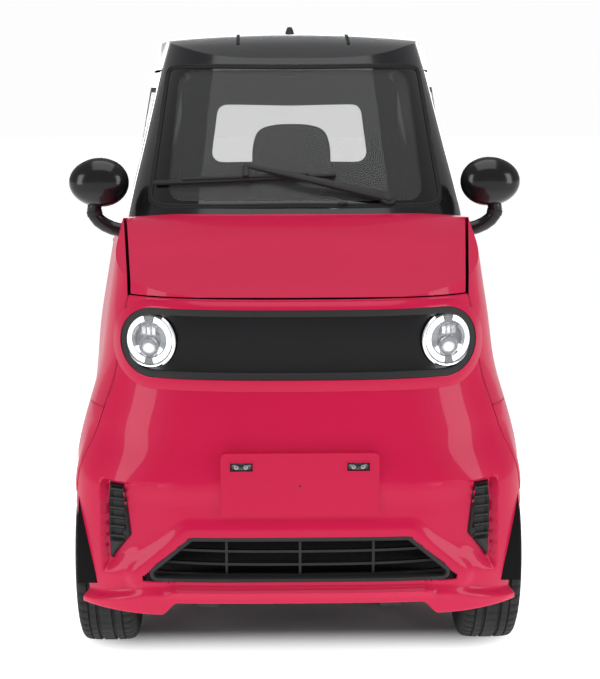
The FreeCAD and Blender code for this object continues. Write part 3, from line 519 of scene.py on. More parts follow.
make_band()


# Headlamps: a round housing on each end of the plate, with a white light ring broken by two dark tabs, a
# projector below, a clear module above and a ribbed bright crescent on the inner side, under a clear lens.
dark_bezel_and_shade = Finish("lamp_housing_and_shade", "lamp_glass", (0.012, 0.012, 0.013), 0.25, mottle=(0.22, 60, 2, 0.1),
                    coat_weight=0.4)
glow_white = Finish("light_ring", "lamp_glass", (0.9, 0.92, 0.95), 0.3, glow=1.15)
glow_white.give("Emission Color", glow_white.blend(glow_white.spots(70, 1), (0.93, 0.96, 1.0), (1, 1, 1)))
chrome = Finish("bright_reflector", "lamp_glass", (0.36, 0.37, 0.38), 0.16, mottle=(0.12, 120, 2, 0.12),
                metallic=1.0)
bright = Finish("clear_ribs", "lamp_glass", (0.86, 0.88, 0.90), 0.12, mottle=(0.10, 90, 2, 0.1), metallic=0.6)
projector = Finish("projector_glass", "lamp_glass", (0.75, 0.78, 0.82), 0.06, glow=1.0)
LAMP_X, LAMP_Z, GLOW_Z = 0.365, 0.836, 0.8165
aside, lower = abs(projector.axis("X")) - LAMP_X, projector.axis("Z") - GLOW_Z
from_glow = ((aside * aside + lower * lower * 1.6) ** 0.5).rise(0.006, 0.019)
projector.give("Emission Color", projector.blend(from_glow, (1, 1, 1), (0.05, 0.055, 0.06)))
projector.give("Base Color", projector.blend(from_glow, (0.8, 0.8, 0.8), (0.16, 0.165, 0.17)))
clear_lens = Finish("clear_lens", "lamp_glass", (0.75, 0.78, 0.82), 0.02, alpha=0.13)
clear_lens.give("Alpha", 0.11 + clear_lens.spots(6, 1) * 0.04)
dress(dark_bezel_and_shade, "headlamps")


def turns(count):
    # Even steps round a circle, as (cosine, sine).
    return [(math.cos(a), math.sin(a)) for a in (2 * math.pi * k / count for k in range(count))]


def ring_on_nose(name, centre, section, start, end, finish, steps=72):
    # Part of a ring, or a whole one: the section's points are (radius, forward of the nose).
    whole = end - start == 360
    count = max(6, int(steps * (end - start) / 360))
    rings = []
    for i in range(count if whole else count + 1):
        turn = math.radians(start + (end - start) * i / count)
        rings.append([on_nose(centre.x + radius * math.cos(turn), centre.z + radius * math.sin(turn), forward)
                      for radius, forward in section])
    loft(name, rings, finish, closed=whole)


def dome_on_nose(name, centre, radius, base, rise, finish, count=40):
    levels, rings = 9, []
    for k in range(levels):
        turn = math.pi / 2 * k / levels
        r, forward = radius * math.cos(turn), base + rise * math.sin(turn)
        rings.append([on_nose(centre.x + r * c, centre.z + r * s, forward) for c, s in turns(count)])
    back = [p + Vector((0, 0.002, 0)) for p in rings[0]]
    loft(name, [back] + rings, finish, smooth=60)


def block_on_nose(name, x, z, corners, depths, finish):
    points = [on_nose(x + dx, z + dz, forward) for forward in depths for dx, dz in corners]
    faces = [(0, 1, 2, 3), (7, 6, 5, 4), (0, 4, 5, 1), (1, 5, 6, 2), (2, 6, 7, 3), (3, 7, 4, 0)]
    add_piece(name, points, faces, finish, turn_out=True)


def make_lamp(side, name):
    centre = Vector((side * LAMP_X, 0, LAMP_Z))
    low = centre + Vector((0, 0, -0.0175))
    inward = 180 if side > 0 else 0
    tube = [(0.0445, -0.0065), (0.0445, 0.0005), (0.0470, 0.0030), (0.0510, 0.0040), (0.0550, 0.0030),
            (0.0575, 0.0005), (0.0575, -0.0065)]
    tab = [(0.043, -0.0065), (0.043, 0.0035), (0.058, 0.0035), (0.058, -0.0065)]
    wedge = [(0.041, -0.0068), (0.041, 0.0), (0.031, -0.002), (0.031, -0.0068)]
    rib = [(0.0425, -0.005), (0.0425, 0.0), (0.0315, -0.0042), (0.0315, -0.006)]
    parts = [
        # name, from and to in degrees, finish, and section
        ("lamp_rim_", 0, 360, dark_bezel_and_shade,
         [(0.0655, -0.006), (0.0655, 0.0035), (0.0625, 0.0055), (0.0590, 0.0040), (0.0585, -0.007)]),
        ("light_ring_outer_", -78, 76, glow_white, tube),
        ("light_ring_inner_", 104, 258, glow_white, tube),
        ("ring_tab_top_", 79, 101, dark_bezel_and_shade, tab),
        ("ring_tab_bottom_", 259, 281, dark_bezel_and_shade, tab),
        ("reflector_", inward - 62, inward + 62, chrome,
         [(0.0435, -0.0068), (0.0435, -0.0015), (0.030, -0.0062), (0.030, -0.0072)]),
        ("reflector_outer_", inward + 132, inward + 228, chrome,
         [(0.0430, -0.0068), (0.0430, -0.002), (0.036, -0.0055), (0.036, -0.0072)]),
        *(("reflector_rib_%d_" % i, inward - 51.1 + 10 * i, inward - 48.9 + 10 * i, chrome, rib)
          for i in range(11)),
        ("lamp_crescent_", inward - 58, inward + 58, bright,
         [(0.0605, 0.002), (0.0605, 0.0075), (0.0645, 0.0085), (0.0675, 0.0060), (0.0675, 0.002)]),
        ("lamp_flank_", 214, 326, bright,
         [(0.0605, 0.002), (0.0605, 0.0068), (0.0640, 0.0068), (0.0640, 0.002)]),
    ]
    for word, start, end, finish, section in parts:
        ring_on_nose(word + name, centre, section, start, end, finish)
    ring_on_nose("projector_bezel_" + name, low, [(0.0255, -0.0068), (0.0250, -0.001), (0.0225, 0.0015),
                 (0.0205, -0.001), (0.0205, -0.0068)], 0, 360, chrome, steps=48)
    dome_on_nose("projector_" + name, low, 0.0205, -0.006, 0.010, projector)
    for part, start in (("left", 209), ("right", 305)):
        ring_on_nose("lamp_wedge_" + part + "_" + name, centre, wedge, start, start + 26, bright)
    block_on_nose("lamp_module_" + name, centre.x, centre.z, ((-0.021, 0.010), (0.021, 0.010), (0.019, 0.034),
                  (-0.019, 0.034)), (-0.0065, 0.0015), clear_lens)
    for i in range(3):
        block_on_nose("lamp_cell_%d_%s" % (i, name), centre.x + (i - 1) * 0.012, centre.z,
                      ((-0.0045, 0.013), (0.0045, 0.013), (0.0045, 0.030), (-0.0045, 0.030)),
                      (-0.0062, -0.001), chrome)
    dome_on_nose("lamp_lens_" + name, centre, 0.0590, 0.0046, 0.0060, clear_lens, count=72)


for side, name in BOTH:
    make_lamp(side, name)


# Lower grille: black slats in a thin frame, with a dark fine mesh some way behind them. The frame
# follows the opening in the bumper, which has rounded corners.
dark_mesh = Finish("fine_mesh", "black_plastic", (0.006, 0.006, 0.006), 0.8, specular=0.2)
dark_mesh.bump(dark_mesh.cells(260.0), 0.5, 0.001)


def grille_outline():
    radius, bends, spacing = 0.012, 6, 0.02
    points = []
    for i, corner in enumerate(Vector(place) for place in GRILLE):
        to_a = (Vector(GRILLE[i - 1]) - corner).normalized()
        to_b = (Vector(GRILLE[(i + 1) % 4]) - corner).normalized()
        middle = (to_a + to_b).normalized()
        half = math.acos(clamp(to_a.dot(to_b), -1, 1)) / 2
        hub = corner + middle * radius / math.sin(half)
        out_a, out_b = Vector((to_a.y, -to_a.x)), Vector((-to_b.y, to_b.x))
        first = math.atan2(*(out_a if out_a.dot(middle) < 0 else -out_a).yx)
        last = math.atan2(*(out_b if out_b.dot(middle) < 0 else -out_b).yx)
        while last < first:
            last += 2 * math.pi
        for k in range(bends + 1):
            a = first + (last - first) * k / bends
            points.append(hub + Vector((math.cos(a), math.sin(a))) * radius)
    dense = []
    for p, q in zip(points, points[1:] + points[:1]):
        steps = max(1, int((q - p).length / spacing))
        dense += [p + (q - p) * k / steps for k in range(steps)]
    return dense


def make_grille_frame():
    rings = []
    base = grille_outline()
    for offset, forward in ((0.0068, 0.0088), (0.0055, 0.0100), (-0.0015, 0.0095), (-0.0045, 0.0040),
                            (-0.0045, -0.022), (0.0068, -0.004)):
        ring = []
        for i, p in enumerate(base):
            along = (base[(i + 1) % len(base)] - base[i - 1]).normalized()
            q = p + Vector((along.y, -along.x)) * offset
            ring.append(on_nose(q.x, q.y, forward))
        rings.append(ring)
    loft("grille_frame", rings, plastic, closed=True)
    backing = [on_nose(-0.41 + 0.82 * i / 24, z, -0.055) for i in range(25) for z in (0.225, 0.400)]
    faces = [(2 * i, 2 * i + 2, 2 * i + 3, 2 * i + 1) for i in range(24)]
    add_piece("grille_backing", backing, faces, dark_mesh, wall=0.003)


make_grille_frame()


# Corner vents: a black moulding in each pocket's outer wall, with a slot crossed by six slats. The
# moulding narrows to a point below.
def make_vent(side, name):
    outline = [(0.4335, 0.4900), (0.4730, 0.4900), (0.4775, 0.440), (0.4765, 0.360), (0.4690, 0.302),
               (0.4160, 0.366)]
    rows, columns, bottom, top, narrowest, hair = 34, 9, 0.302, 0.490, 0.004, 1e-6
    points = []
    for r in range(rows):
        z = bottom + (top - bottom) * r / (rows - 1)
        spans = []
        for (ax, az), (bx, bz) in zip(outline, outline[1:] + outline[:1]):
            if min(az, bz) - hair <= z <= max(az, bz) + hair and abs(az - bz) > hair:
                spans.append(ax + (bx - ax) * (z - az) / (bz - az))
        outer = max(spans)
        inner = min(min(spans), outer - narrowest)
        for c in range(columns):
            x = inner + (outer - inner) * c / (columns - 1)
            from_edge = min(c, columns - 1 - c, r, rows - 1 - r)
            slot_depth = 0.0095 if 0.352 < z < 0.484 and 0.4325 < x < 0.4655 else 0.0
            points.append(bumper_point(side * x, z, 0.0015 + 0.010 * clamp(from_edge / 1.5) - slot_depth))
    faces = sheet_faces(rows, columns, flip=side < 0)
    add_piece("vent_" + name, points, faces, plastic, wall=0.003, smooth=30)
    section = ((0.0125, 0.0030), (0.0125, -0.001), (0.001, -0.008), (0.001, 0.0000))
    for i in range(6):
        z = 0.361 + 0.0230 * i
        slat = [[bumper_point(side * x, z) + outward(side * x, z) * out + Vector((0, 0, up))
                 for out, up in section] for x in (0.4290, 0.4670)]
        loft("vent_slat_%d_%s" % (i, name), slat, plastic)


for side, name in BOTH:
    make_vent(side, name)


# What repeats round a centre, such as bolts, comes from one Geometry Nodes tree: copies of a small form
# stand on a circle, each turned to face outward, and are joined into one mesh.
def round_array():
    tree = bpy.data.node_groups.new("round_array", "GeometryNodeTree")
    sockets = {}
    for word, kind, way in (("Geometry", "Geometry", "INPUT"), ("Copy", "Object", "INPUT"),
                            ("Count", "Int", "INPUT"), ("Radius", "Float", "INPUT"),
                            ("Finish", "Material", "INPUT"), ("Geometry", "Geometry", "OUTPUT")):
        made = tree.interface.new_socket(word, in_out=way, socket_type="NodeSocket" + kind)
        sockets[word] = made.identifier
    start, end, circle, copy, stand, index, part, turn, spin, real, coat = (tree.nodes.new(kind) for kind in (
        "NodeGroupInput", "NodeGroupOutput", "GeometryNodeMeshCircle", "GeometryNodeObjectInfo",
        "GeometryNodeInstanceOnPoints", "GeometryNodeInputIndex", "ShaderNodeMath", "ShaderNodeMath",
        "ShaderNodeCombineXYZ", "GeometryNodeRealizeInstances", "GeometryNodeSetMaterial"))
    part.operation, turn.operation = "DIVIDE", "MULTIPLY"
    turn.inputs[1].default_value = 2 * math.pi
    for source, output, target, socket in (
            (start, "Count", circle, "Vertices"), (start, "Radius", circle, "Radius"),
            (start, "Copy", copy, "Object"), (circle, "Mesh", stand, "Points"),
            (copy, "Geometry", stand, "Instance"), (index, 0, part, 0), (start, "Count", part, 1),
            (part, 0, turn, 0), (turn, 0, spin, "Z"), (spin, 0, stand, "Rotation"), (stand, 0, real, 0),
            (real, 0, coat, "Geometry"), (start, "Finish", coat, "Material"), (coat, 0, end, 0)):
        tree.links.new(source.outputs[output], target.inputs[socket])
    return tree, sockets


ROUND_TREE, ROUND_INPUTS = round_array()


def stand_round(name, corners, faces, count, radius, finish, place, body):
    # corners are of one copy, in a frame whose X points away from the axis and whose Z is the axis.
    form, holder = (bpy.data.objects.new(name + end, bpy.data.meshes.new(name + end))
                    for end in ("_form", "_holder"))
    form.data.from_pydata(corners, [], faces)
    for each in (form, holder):
        bpy.context.scene.collection.objects.link(each)
    modifier = holder.modifiers.new("array", "NODES")
    modifier.node_group = ROUND_TREE
    for word, value in (("Copy", form), ("Count", count), ("Radius", radius), ("Finish", finish.material)):
        modifier[ROUND_INPUTS[word]] = value
    holder.update_tag()
    bpy.context.view_layer.update()
    solid = bpy.data.meshes.new_from_object(holder.evaluated_get(bpy.context.evaluated_depsgraph_get()))
    solid.transform(place)
    add_piece(name, [v.co.copy() for v in solid.vertices], [tuple(p.vertices) for p in solid.polygons],
              finish, body, smooth=30, turn_out=True)
    for each in (holder, form):
        bpy.data.objects.remove(each)


# Tyres: moulded rubber with two round grooves, fine sipes and a row of shoulder blocks on each side. The
# rims are cast, with four bolts.
rubber = Finish("tyre_rubber", "tyre", (0.014, 0.014, 0.0145), 0.75, mottle=(0.66, 60, 3, 0.2),
                grain=(700, 2, 0.2, 0.0003), specular=0.3)
rubber.give("Base Color", rubber.blend(rubber.spots(14, 4).rise(0.4, 0.8), (0.012, 0.012, 0.0125),
                                       (0.022, 0.021, 0.020)))
alloy = Finish("alloy", "alloy", (0.42, 0.42, 0.44), 0.3, mottle=(0.26, 30, 3, 0.14), metallic=0.9)
steel = Finish("bare_steel", "bare_steel", (0.35, 0.35, 0.36), 0.35, mottle=(0.3, 45, 3, 0.25), metallic=1.0)
TYRE_HALF = [
    # right half of the section from bead to middle: across, and radius
    (0.0500, 0.1605), (0.0570, 0.1700), (0.0655, 0.1850), (0.0705, 0.2030), (0.0722, 0.2180),
    (0.0708, 0.2310), (0.0672, 0.2420), (0.0650, 0.2450), (0.0620, 0.2482), (0.0570, 0.2505),
    (0.0500, 0.2520), (0.0440, 0.2528), (0.0425, 0.2480), (0.0405, 0.2480), (0.0390, 0.2532),
    (0.0240, 0.2538), (0.0222, 0.2470), (0.0160, 0.2470), (0.0142, 0.2540), (0.0045, 0.2540),
]
SHOULDER, SIPED = range(7, 12), (15, 19)
WHEELS = (("front_left", 1, -1), ("front_right", -1, -1), ("rear_left", 1, 1), ("rear_right", -1, 1))


def tree_of(*names):
    points, faces = [], []
    for name in names:
        mesh = nodes[name].data
        start = len(points)
        points += [v.co.copy() for v in mesh.vertices]
        faces += [tuple(start + i for i in p.vertices) for p in mesh.polygons]
    return BVHTree.FromPolygons(points, faces)


def wheel_hub(side, end):
    return Vector((side * FRONT_AXLE.x, end * abs(FRONT_AXLE.y), FRONT_AXLE.z))


def prism_faces(count):
    faces = [tuple(range(count))[::-1], tuple(range(count, 2 * count))]
    return faces + [(k, (k + 1) % count, (k + 1) % count + count, k + count) for k in range(count)]


def make_tyre(corner, side, end):
    steps, block_steps, block_gap, sipe = 280, 5, 0.0042, 0.0022
    half = [(across, radius, i) for i, (across, radius) in enumerate(TYRE_HALF)]
    profile = half + [(-across, radius, i) for across, radius, i in half[::-1]]
    profile += [(-0.046, 0.1605, None), (0.046, 0.1605, None)]
    hub = wheel_hub(side, end)
    rings = []
    for k, (c, s) in enumerate(turns(steps)):
        ring = []
        for across, radius, i in profile:
            if i in SHOULDER and k % block_steps == (0 if across > 0 else 2):
                radius -= block_gap
            if i in SIPED and k % block_steps == 4:
                radius -= sipe
            ring.append(hub + Vector((across, radius * c, radius * s)))
        rings.append(ring)
    made = loft("tread_tyre_" + corner, rings, rubber, "wheel_" + corner, closed=True, smooth=38)
    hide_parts("tyre_" + corner)
    dress(alloy, "rim_" + corner)


def make_bolts(corner, side, end):
    circle, head, height = 0.050, 0.0085, 0.007
    hub, rim = wheel_hub(side, end), tree_of("rim_" + corner)
    hits = [rim.ray_cast(Vector((side, hub.y + circle * c, hub.z + circle * s)), Vector((-side, 0, 0)))[0]
            for c, s in turns(4)]
    face = side * min(side * hit.x for hit in hits if hit)
    bolt = [(head * c, head * s, z) for z in (0.0, height) for c, s in turns(6)]
    place = Matrix.Translation((face, hub.y, hub.z)) @ Matrix.Rotation(side * math.pi / 2, 4, "Y")
    stand_round("wheel_bolts_" + corner, bolt, prism_faces(6), 4, circle, steel, place, "wheel_" + corner)


for corner, side, end in WHEELS:
    make_tyre(corner, side, end)
    make_bolts(corner, side, end)


# Windows: dark tinted panes. The windscreen has a black band baked on round its edge, inside a rubber
# seal, and the other panes have seals of their own.
tint = Finish("tinted_glass", "pane_glass", (0.035, 0.037, 0.038), 0.03, alpha=0.5)
tint.give("Alpha", 0.40 + tint.spots(2, 1) * 0.05)
dress(tint, "side_windows", "door_glass_left", "door_glass_right")
clear = Finish("rear_glass", "pane_glass", (0.06, 0.062, 0.063), 0.03, alpha=0.06)
clear.give("Alpha", 0.05 + clear.spots(2, 1) * 0.02)
dress(clear, "tailgate_glass")


def make_windscreen_glass():
    # The clear part narrows upward and has rounded corners.
    front = Finish("windscreen_glass", "pane_glass", (0.030, 0.031, 0.032), 0.03, alpha=0.25)
    middle, half_height, corner = 1.321, 0.174, 0.04
    x, z = abs(front.axis("X")), front.axis("Z")
    half_width = 0.344 - (z - 1.150) * 0.052
    across = (x - half_width + corner).above_zero()
    up = (abs(z - middle) - half_height + corner).above_zero()
    black = ((across ** 2.0 + up ** 2.0) ** 0.5 - corner).rise(-0.0006, 0.0010)
    front.give("Alpha", 0.20 + black * 0.80)
    front.give("Base Color", front.blend(black, (0.13, 0.132, 0.134), (0.004, 0.004, 0.004)))
    dress(front, "windscreen")


make_windscreen_glass()
seal_rubber = Finish("seal_rubber", "wheel_rubber", (0.011, 0.011, 0.0115), 0.7, mottle=(0.6, 80, 3, 0.2),
                     specular=0.3)
SEAL = [(-0.0075, -0.001), (-0.0075, 0.0018), (-0.0045, 0.0036), (-0.0010, 0.0036), (0.0, 0.0022),
        (0.0010, 0.0036), (0.0045, 0.0036), (0.0075, 0.0018), (0.0075, -0.001)]


def on_skin(skin, start, look, proud=0.0):
    # Where a line meets a skin, at some height above it, with the way the skin faces there.
    point, normal = skin.ray_cast(Vector(start), Vector(look))[:2]
    if normal.dot(Vector(look)) >= 0:
        normal = -normal
    return point + normal * proud, normal


def edge_of(tree, look, centre, inset, count=168, reach=0.7):
    # The rim of a pane seen along an axis: points a little inside its edge, with the way it faces there.
    found, halvings, back = [], 13, look * 1.5
    across = Vector((0, 1, 0)) if abs(look.x) > 0.5 else Vector((1, 0, 0))
    for c, s in turns(count):
        away = across * c + Vector((0, 0, s))
        low, high = 0.0, reach
        for step in range(halvings):
            middle = (low + high) / 2
            meets = tree.ray_cast(Vector(centre) + away * middle - back, look)[0]
            low, high = (middle, high) if meets else (low, middle)
        start = Vector(centre) + away * (low - inset) - back
        if tree.ray_cast(start, look)[0]:
            found.append(on_skin(tree, start, look))
    return found


def bead(name, path, section, finish, body="body", closed=True, smooth=35):
    # A strip along a path of (point, way it faces): the section's points are (across, proud).
    rings, count = [], len(path)
    for i, (point, normal) in enumerate(path):
        before = path[i - 1][0] if closed or i else point
        after = path[(i + 1) % count][0] if closed or i < count - 1 else point
        across = (after - before).normalized().cross(normal).normalized()
        rings.append([point + across * a + normal * p for a, p in section])
    loft(name, rings, finish, body, closed, smooth)


def seal(name, node, look, centre, body="body"):
    bead(name, edge_of(tree_of(node), Vector(look), centre, 0.007), SEAL, seal_rubber, body)


def gap_strip(name, node, look, centre, depth, outer=0.0055):
    # A rubber lip on the body that closes the gap round an opening panel, some way in from its face.
    look, inner, half = Vector(look), 0.0055, 0.003
    rim = edge_of(tree_of(node), look, centre, 0.001, count=220, reach=0.85)
    path = [(point + look * depth, -look) for point, normal in rim]
    bead(name, path, [(-outer, -half), (-outer, half), (inner, half), (inner, -half)], seal_rubber)


seal("windscreen_seal", "windscreen", (0, 1, 0), (0, 0, 1.32))
seal("tailgate_seal", "tailgate_glass", (0, -1, 0), (0, 0, 1.294), "tailgate")
for side, name in BOTH:
    seal("door_seal_" + name, "door_glass_" + name, (-side, 0, 0), (0, 0.10, 1.28), "door_" + name)
    seal("side_seal_" + name, "side_windows", (-side, 0, 0), (0, 0.56, 1.26))
    gap_strip("door_gap_seal_" + name, "door_" + name, (-side, 0, 0), (0, 0.0, 0.86), 0.022)
gap_strip("tailgate_gap_seal", "tailgate", (0, -1, 0), (0, 0, 1.06), 0.026, 0.013)


# Wiper: a pressed steel arm painted matt black on a capped pivot, a long blade on a hub and a spray
# nozzle beside it. Everything lies on the glass.
GLASS = tree_of("windscreen", "cowl", "roof_shell")


def on_glass(x, z, proud):
    return on_skin(GLASS, (x, -3, z), (0, 1, 0), proud)


def ring_at(point, facing, radius, count, start=(0, 0, 1)):
    # Points on a circle round a line through a point.
    side_a = facing.cross(Vector(start)).normalized()
    side_b = side_a.cross(facing)
    return [point + (side_a * c + side_b * s) * radius for c, s in turns(count)]


def bar(name, start, end, widths, height, lifts, finish=plastic):
    # A bar on the glass from one place to another, seen from the front, that narrows to its far end.
    steps, rings = 24, []
    section = ((-0.5, 0), (-0.42, 0.75), (-0.2, 1), (0.2, 1), (0.42, 0.75), (0.5, 0))
    runs = [[low + (high - low) * i / steps for low, high in (*zip(start, end), lifts, widths)]
            for i in range(steps + 1)]
    path = [on_glass(*run[:3]) for run in runs]
    for i, (point, normal) in enumerate(path):
        along = (path[min(i + 1, steps)][0] - path[max(i - 1, 0)][0]).normalized()
        across = along.cross(normal).normalized()
        rings.append([point + across * a * runs[i][3] + normal * p * height for a, p in section])
    loft(name, rings, finish)


def make_wiper():
    blade_low, blade_high, hub, pivot = (-0.379, 1.186), (0.107, 1.209), (-0.132, 1.225), (0.243, 1.150)
    elbow = (0.045, 1.186)
    bar("wiper_rubber", blade_low, blade_high, (0.007, 0.007), 0.006, (0.0005, 0.0005), seal_rubber)
    bar("wiper_blade", blade_low, blade_high, (0.013, 0.013), 0.007, (0.006, 0.006))
    bar("wiper_bridge", (-0.30, 1.1935), (0.035, 1.2075), (0.010, 0.010), 0.006, (0.012, 0.012))
    bar("wiper_arm", elbow, hub, (0.020, 0.015), 0.007, (0.022, 0.020))
    bar("wiper_arm_end", hub, (-0.132, 1.1975), (0.020, 0.018), 0.009, (0.017, 0.016))
    bar("wiper_arm_root", pivot, elbow, (0.032, 0.022), 0.010, (0.006, 0.020))
    centre, normal = on_glass(pivot[0], pivot[1] - 0.002, 0.0)
    for word, reach, lift, top in (("wiper_pivot", 0.022, 0.001, 0.014), ("wiper_cap", 0.014, 0.013, 0.018)):
        stations = ((lift, reach), (top - 0.004, reach), (top - 0.001, reach * 0.85), (top, reach * 0.5))
        loft(word, [ring_at(centre + normal * h, normal, r, 28) for h, r in stations], plastic)
    bar("spray_nozzle", (0.112, 1.136), (0.136, 1.137), (0.012, 0.010), 0.010, (0.002, 0.002))


make_wiper()


# Roof: pressed in gloss black, with two narrow rubber mouldings along it and a short stub aerial in
# the middle.
ROOF = tree_of("roof_shell")


def on_roof(x, y):
    return on_skin(ROOF, (x, y, 3), (0, 0, -1))


def make_roof_trim():
    section = [(-0.0055, -0.001), (-0.0045, 0.0018), (-0.0015, 0.0024), (0.0015, 0.0024), (0.0045, 0.0018),
               (0.0055, -0.001)]
    for side, name in BOTH:
        path = [on_roof(side * (0.160 + 0.012 * k / 40), -0.155 + 0.92 * k / 40) for k in range(41)]
        bead("roof_moulding_" + name, path, section, seal_rubber, closed=False)
    base = on_roof(-0.006, 0.22)[0]
    stations = ((-0.002, 0.034, 0.017), (0.004, 0.033, 0.016), (0.012, 0.026, 0.013), (0.020, 0.017, 0.011),
                (0.026, 0.010, 0.0085), (0.030, 0.006, 0.006))
    rings = [[base + Vector((wide * c, long * s + height * 0.5, height)) for c, s in turns(32)]
             for height, long, wide in stations]
    loft("aerial", rings, plastic, smooth=50)


make_roof_trim()


# Mirrors: gloss black oval housings on tubular stalks, with the glass set in behind. A matt cuff joins
# each stalk to its housing.
mirror_glass = Finish("mirror_glass", "lamp_glass", (0.72, 0.74, 0.76), 0.03, mottle=(0.02, 4, 1, 0.02),
                      metallic=1.0)


def make_mirror(side, name):
    body = "door_" + name
    centre = Vector((side * 0.5405, -0.425, 1.189))
    half_x, half_y, half_z = 0.0825, 0.056, 0.068
    levels, last, fullness = 30, 0.42, 0.86
    rings = []
    for turn in (math.pi * k / levels for k in range(1, levels)):
        if -math.cos(turn) > last:
            break
        size = math.sin(turn) ** fullness
        rings.append([centre + Vector((half_x * size * c, -half_y * math.cos(turn),
                                       half_z * size * s * (1 - 0.04 * c * side))) for c, s in turns(56)])
    rim = rings[-1]

    def inside_rim(stations):
        # Each station is (share of the rim's size, how far behind it).
        return [[centre + Vector(((p.x - centre.x) * share, p.y - centre.y + back, (p.z - centre.z) * share))
                 for p in rim] for share, back in stations]

    loft("mirror_head_" + name, rings + inside_rim([(0.93, 0.0015), (0.90, -0.008)]), gloss, body, smooth=60)
    loft("mirror_pane_" + name, inside_rim([(0.885, -0.0078), (0.885, -0.0045), (0.85, -0.0035)]),
         mirror_glass, body)
    knots = [(0.553, -0.425, 1.128), (0.556, -0.424, 1.112), (0.553, -0.422, 1.097), (0.543, -0.420, 1.083),
             (0.527, -0.417, 1.071), (0.506, -0.413, 1.061), (0.486, -0.410, 1.056)]
    path = [Vector((side * x, y, z)) for x, y, z in knots]
    sideways = (0, 1, 0)
    rings = [ring_at(p, (path[max(i - 1, 0)] - path[min(i + 1, 6)]).normalized(), 0.0195, 24, sideways)
             for i, p in enumerate(path)]
    stalk = loft("mirror_stalk_" + name, rings, gloss, body, smooth=60)
    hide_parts("mirror_" + name)
    run = path[2] - path[1]
    cuff = [ring_at(path[1] + run * share, -run.normalized(), radius, 24, sideways)
            for share, radius in ((0.0, 0.0200), (0.1, 0.0215), (0.9, 0.0215), (1.0, 0.0200))]
    loft("mirror_cuff_" + name, cuff, plastic, body)


for side, name in BOTH:
    make_mirror(side, name)


# Plate bracket: the red moulding stays blank, and two pairs of bright screws sit in small framed recesses
# at its top. The recess floors and a small hole below them are dark plates of painted shade.
SQUARE = ((-1, -1), (1, -1), (1, 1), (-1, 1))


def screw(name, place, facing, radius, height, finish, body="body", slot=None):
    facing = facing.normalized()
    stations = ((-0.001, 1.0), (height * 0.5, 1.0), (height * 0.85, 0.8), (height, 0.45), (height * 0.6, 0.3))
    rings = [ring_at(place + facing * lift, facing, radius * share, 20) for lift, share in stations]
    loft(name, rings, finish, body)


def make_plate_trim():
    front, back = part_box("plate_bracket")[0].y, Vector((0, -1, 0))
    half_x, half_z = 0.027, 0.010
    for side, name in BOTH:
        x, z = side * 0.140, 0.545
        # Each recess floor is a flat dark plate just proud of the bracket face: painted shade, not depth.
        well = [Vector((x + sx * half_x, front - 0.0006, z + sz * half_z)) for sx, sz in SQUARE]
        add_piece("screw_well_" + name, well, [(0, 1, 2, 3)], dark_bezel_and_shade, wall=0.0006)
        stations = ((0.003, 0), (0.003, 0.0012), (0, 0.0012), (0, 0))
        rings = [[Vector((x + sx * (half_x + grow), front - forward, z + sz * (half_z + grow)))
                  for sx, sz in SQUARE] for grow, forward in stations]
        loft("screw_frame_" + name, rings, paint, closed=True)
        for part, shift in (("a", -0.0120), ("b", 0.0105)):
            screw("plate_screw_%s_%s" % (part, name), Vector((x + shift, front - 0.001, z)), back, 0.0052,
                  0.0026, steel)
    # The hole in the middle is a thin dark disc on the bracket face: painted shade.
    screw("plate_hole", Vector((0.0, front - 0.0002, 0.498)), back, 0.003, 0.0004, dark_bezel_and_shade,
          slot="black_plastic")


make_plate_trim()


# Doors: each has a gloss black pull handle over a shallow cup, a strip along the waist and a lock. All
# of them lie on the door's own skin and turn with it.
def make_door_trim(side, name):
    door = "door_" + name
    skin = tree_of(door)
    handle_z, steps = 0.960, 20

    def on_side(y, z, proud=0.0):
        return on_skin(skin, (side * 1.5, y, z), (-side, 0, 0), proud)

    waist = [on_side(-0.425 + 0.83 * k / 40, 1.079) for k in range(41)]
    bead("waist_strip_" + name, waist, [(-0.006, -0.001), (-0.005, 0.0035), (0.005, 0.0035), (0.006, -0.001)],
         plastic, door, closed=False)
    rings = []
    for share in (k / steps for k in range(steps + 1)):
        point, normal = on_side(0.250 + 0.130 * share, handle_z)
        rise = 0.030 * math.sin(math.pi * share) ** 0.5
        thick = 0.0045 + 0.004 * math.sin(math.pi * share)
        rings.append([point + normal * (rise + thick * s) + Vector((0, 0, 0.013 * c)) for c, s in turns(16)])
    loft("door_handle_" + name, rings, gloss, door, smooth=60)
    cup = [[on_side(0.315 + 0.050 * grow * c, handle_z + 0.024 * grow * s, proud)[0] for c, s in turns(36)]
           for grow, proud in ((1.0, 0.0006), (0.93, 0.0022), (0.86, 0.0008), (0.3, 0.0006))]
    loft("handle_cup_" + name, cup, gloss, door, smooth=50)
    screw("door_lock_" + name, *on_side(0.385, 0.915), 0.009, 0.002, steel, door)


for side, name in BOTH:
    make_door_trim(side, name)


# Wheel arches: a black felt liner closes each arch above and behind the wheel, and a plate closes it
# towards the middle. The front plates stand further in, clear of the steered tyres.
liner_felt = Finish("liner_felt", "black_plastic", (0.010, 0.010, 0.010), 0.95, grain=(500, 3, 0.5, 0.0008),
                    specular=0.1)


def make_liner(corner, side, end):
    radius, outer, wall = 0.2975, 0.548, 0.003
    inner = 0.268 if end < 0 else 0.335
    hub = wheel_hub(side, end)

    def on_arch(x, degrees, out=0.0):
        a = math.radians(degrees)
        return Vector((side * x, hub.y + (radius + out) * math.cos(a), hub.z + (radius + out) * math.sin(a)))

    rings = [[on_arch(x, -4 + 188 * k / 36, out)
              for x, out in ((inner, 0), (outer, 0), (outer, wall), (inner, wall))] for k in range(37)]
    loft("arch_liner_" + corner, rings, liner_felt)
    plate = [on_arch(x, degrees) for x in (inner, inner - wall) for degrees in range(0, 181, 9)]
    add_piece("arch_plate_" + corner, plate, prism_faces(len(plate) // 2), liner_felt, turn_out=True)


for corner, side, end in WHEELS:
    make_liner(corner, side, end)


